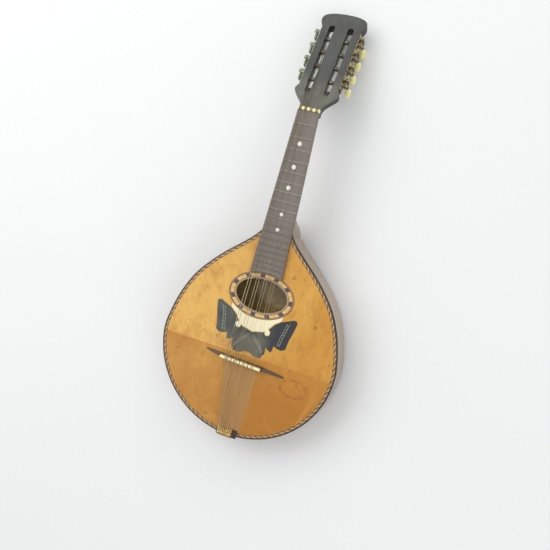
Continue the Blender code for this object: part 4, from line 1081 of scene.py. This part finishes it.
for i, name in enumerate(NAMES):
    sx = -1 if i < 4 else 1
    k = ROLLER_FOR[i][0] if i < 4 else ROLLER_FOR[7 - i][0]
    s = ROLLER_S0 + ROLLER_PITCH * k
    centre = head(sx * GEAR_X, s, ROLLER_H)

    def at(x, u, v):
        return head(sx * x, s + u, ROLLER_H + v)

    ob = piece("post_%s_barrel" % name, lathe(at, ((5.5, 2.2), (5.6, 2.6), (6.0, 2.85), (7.6, 2.88), (7.9, 2.5), (8.6, 2.42), (9.2, 2.5), (9.5, 2.86),
                                                   (17.6, 2.88), (17.9, 2.5), (18.5, 2.42), (19.1, 2.5), (19.4, 2.86), (29.0, 2.88), (30.6, 2.88), (31.2, 2.5))),
               M["post"], body="post_" + name, origin=centre)
    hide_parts("roller_" + name)
    out = gear_outline(GEAR_TIP, GEAR_ROOT)
    g0, g1 = GEAR_X - GEAR_W / 2, GEAR_X + GEAR_W / 2
    def face(q, x):
        return [at(x, u * q, v * q) for u, v in out]
    gear = loft([face(0.42, g0 - 0.35), face(0.5, g0 - 0.35), face(0.62, g0 + 0.1), face(0.93, g0), face(1.0, g0 + 0.22), face(1.0, g1 - 0.22), face(0.93, g1),
                 face(0.72, g1), face(0.64, g1 - 0.45), face(0.5, g1 - 0.45), face(0.45, g1 - 0.1)])
    piece("gear_%s_wheel" % name, gear, M["copper"] if i > 3 else M["patina"], body="post_" + name, origin=centre, smooth=32)
    scr = lathe(at, ((g1 - 0.5, 1.7), (g1 + 0.15, 1.72), (g1 + 0.45, 1.62), (g1 + 0.68, 1.3), (g1 + 0.78, 0.8)), 28)
    slotcut = bmesh.new()
    loft([[at(x, u, v) for u, v in ((-2.2, -0.24), (2.2, -0.24), (2.2, 0.24), (-2.2, 0.24))] for x in (g1 + 0.32, g1 + 1.5)], bm=slotcut)
    piece("gear_%s_screw" % name, boolean(scr, slotcut, "DIFFERENCE"), M["screw"], body="post_" + name, origin=centre, smooth=28)

    ws = s + CENTRES
    axis = head(sx * GEAR_X, ws, ROLLER_H)
    seg = 36

    def aw(u, v, h):
        return head(sx * GEAR_X + u, ws + v, ROLLER_H + h)
    rings = [[aw(u, v, h) for u, v in circle(seg, r)] for h, r in ((-22.9, 1.1), (-22.4, 1.35), (-5.95, 1.36), (-5.85, 1.36), (-4.1, 1.36), (-4.0, 2.1), (-3.5, 2.3), (-3.3, 2.0))]
    m = 73
    for q in range(m):
        h = -3.0 + 6.0 * q / (m - 1)
        ring = []
        for j in range(seg):
            a = TURN * j / seg
            d = h - LEAD * (a + math.pi / 2) / TURN
            d = abs((d + LEAD / 2) % LEAD - LEAD / 2)
            f = min(1.0, max(0.0, (0.62 - d) / 0.42))
            fade = min(1.0, (3.0 - abs(h)) / 0.6)
            r = WORM_ROOT + (WORM_TIP - 0.1 - WORM_ROOT) * f * fade
            ring.append(aw(r * math.cos(a), r * math.sin(a), h))
        rings.append(ring)
    rings += [[aw(u, v, h) for u, v in circle(seg, r)] for h, r in ((3.3, 2.0), (3.5, 2.2), (3.95, 2.1), (4.05, 1.36), (5.6, 1.36), (6.1, 1.2), (6.3, 0.9))]
    ob = piece("worm_%s_screw" % name, loft(rings), M["brass"] if i > 3 else M["patina"], body="tuner_" + name, origin=axis, smooth=40)
    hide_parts("worm_" + name)
    collar = loft([[head(sx * GEAR_X + u, ws + v, h) for u, v in circle(28, r)] for h, r in ((-21.9, 1.6), (-21.6, 2.3), (-21.0, 2.55), (-20.4, 2.3), (-20.1, 1.9), (-19.4, 1.75), (-18.8, 1.45))])
    piece("collar_%s_ring" % name, collar, M["brass"] if i > 3 else M["patina"], body="tuner_" + name, origin=axis)
    rings = []
    for h, a, b in ((9.0, 1.7, 1.7), (8.6, 2.3, 2.3), (7.4, 2.55, 2.6), (6.3, 2.8, 3.0), (5.3, 3.3, 4.2), (4.5, 3.65, 5.1), (3.2, 4.0, 6.0), (1.5, 4.25, 6.4),
                    (-0.5, 4.3, 6.6), (-2.5, 4.25, 6.6), (-4.4, 3.95, 6.1), (-5.9, 3.5, 5.3), (-6.9, 2.9, 4.3), (-7.45, 2.1, 3.1), (-7.6, 1.0, 1.6)):
        rings.append([head(sx * GEAR_X + u * a, ws + (abs(v) ** 0.88) * (1 if v > 0 else -1) * b, BUTTON_H + h) for u, v in circle(40, 1.0)])
    ob = piece("button_%s_grip" % name, loft(rings), M["ivory"], body="tuner_" + name, origin=axis, smooth=60)
    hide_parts("button_" + name)

# wood screws that hold the plates to the head
for sx, side in ((-1, "bass"), (1, "treble")):
    bm = bmesh.new()
    for s in (47.2, 66.6, 89.6, 112.6, 136.0):
        h = -3.6 if s in (47.2, 136.0) else -6.5

        def at(x, u, v):
            return head(sx * x, s + u, h + v)
        cap = lathe(at, ((28.6, 1.4), (29.14, 1.45), (29.4, 1.3), (29.6, 0.9), (29.66, 0.3)), 24)
        slotcut = bmesh.new()
        loft([[at(x, u, v) for u, v in ((-2.0, -0.17), (2.0, -0.17), (2.0, 0.17), (-2.0, 0.17))] for x in (29.32, 30.5)], bm=slotcut)
        part = boolean(cap, slotcut, "DIFFERENCE")
        me = bpy.data.meshes.new("tmp")
        part.to_mesh(me)
        part.free()
        bm.from_mesh(me)
        bpy.data.meshes.remove(me)
    piece("plate_screws_" + side, bm, M["screw"], smooth=30)

# ================================================================ stage
low_y, low_z = head(0, ROLLER_S0 + ROLLER_PITCH * 3 + CENTRES, BUTTON_H - 7.6)[1:]
slope = math.atan2(-low_z + 0.0, low_y - Y_TAIL)
me = bpy.data.meshes.new("floor")
bm = bmesh.new()
bmesh.ops.create_grid(bm, x_segments=1, y_segments=1, size=6.0)
bm.to_mesh(me)
bm.free()
floor = bpy.data.objects.new("floor", me)
bpy.context.scene.collection.objects.link(floor)
floor.location = (0, Y_TAIL * MM, -0.0012)
floor.rotation_euler = (-slope, 0, 0)
fm = Mat("floor_paper", (0.78, 0.79, 0.785, 1), 0.75, spec=0.2)
fm.colour(fm.mix(fm.noise(fm.scaled(3, 3, 3), 3), (0.77, 0.78, 0.772, 1), (0.795, 0.803, 0.797, 1)))
me.materials.append(fm.m)

world = bpy.data.worlds.new("studio")
bpy.context.scene.world = world
world.use_nodes = True
world.node_tree.nodes["Background"].inputs["Color"].default_value = (0.97, 0.985, 1.0, 1)
world.node_tree.nodes["Background"].inputs["Strength"].default_value = 0.69


def area(name, loc, target, size, power, colour=(1, 1, 1)):
    l = bpy.data.lights.new(name, "AREA")
    l.shape = "RECTANGLE"
    l.size, l.size_y = size
    l.energy = power
    l.color = colour
    ob = bpy.data.objects.new(name, l)
    bpy.context.scene.collection.objects.link(ob)
    ob.location = loc
    ob.rotation_euler = (Vector(target) - Vector(loc)).to_track_quat("-Z", "Y").to_euler()
    return ob


area("key", (-1.1, 0.9, 1.6), (0, 0.1, 0), (1.9, 1.5), 21)
area("fill", (1.4, -0.6, 1.3), (0, 0.1, 0), (1.6, 1.6), 8)
area("back_wall", (0.2, 2.2, 0.9), (0, 0.2, 0), (2.4, 1.2), 12)

cam = bpy.data.cameras.new("camera")
cam.sensor_width = 36.0
cam.lens = 42.24
cam.clip_start, cam.clip_end = 0.05, 40.0
camera = bpy.data.objects.new("camera", cam)
bpy.context.scene.collection.objects.link(camera)
camera.location = (0.231446, 0.163392, 0.896046)
camera.rotation_mode = "QUATERNION"
camera.rotation_quaternion = Quaternion((0.9821661, -0.02535427, 0.13165254, 0.13181243))
bpy.context.scene.camera = camera

bpy.context.scene.view_settings.view_transform = "Standard"
bpy.context.view_layer.update()
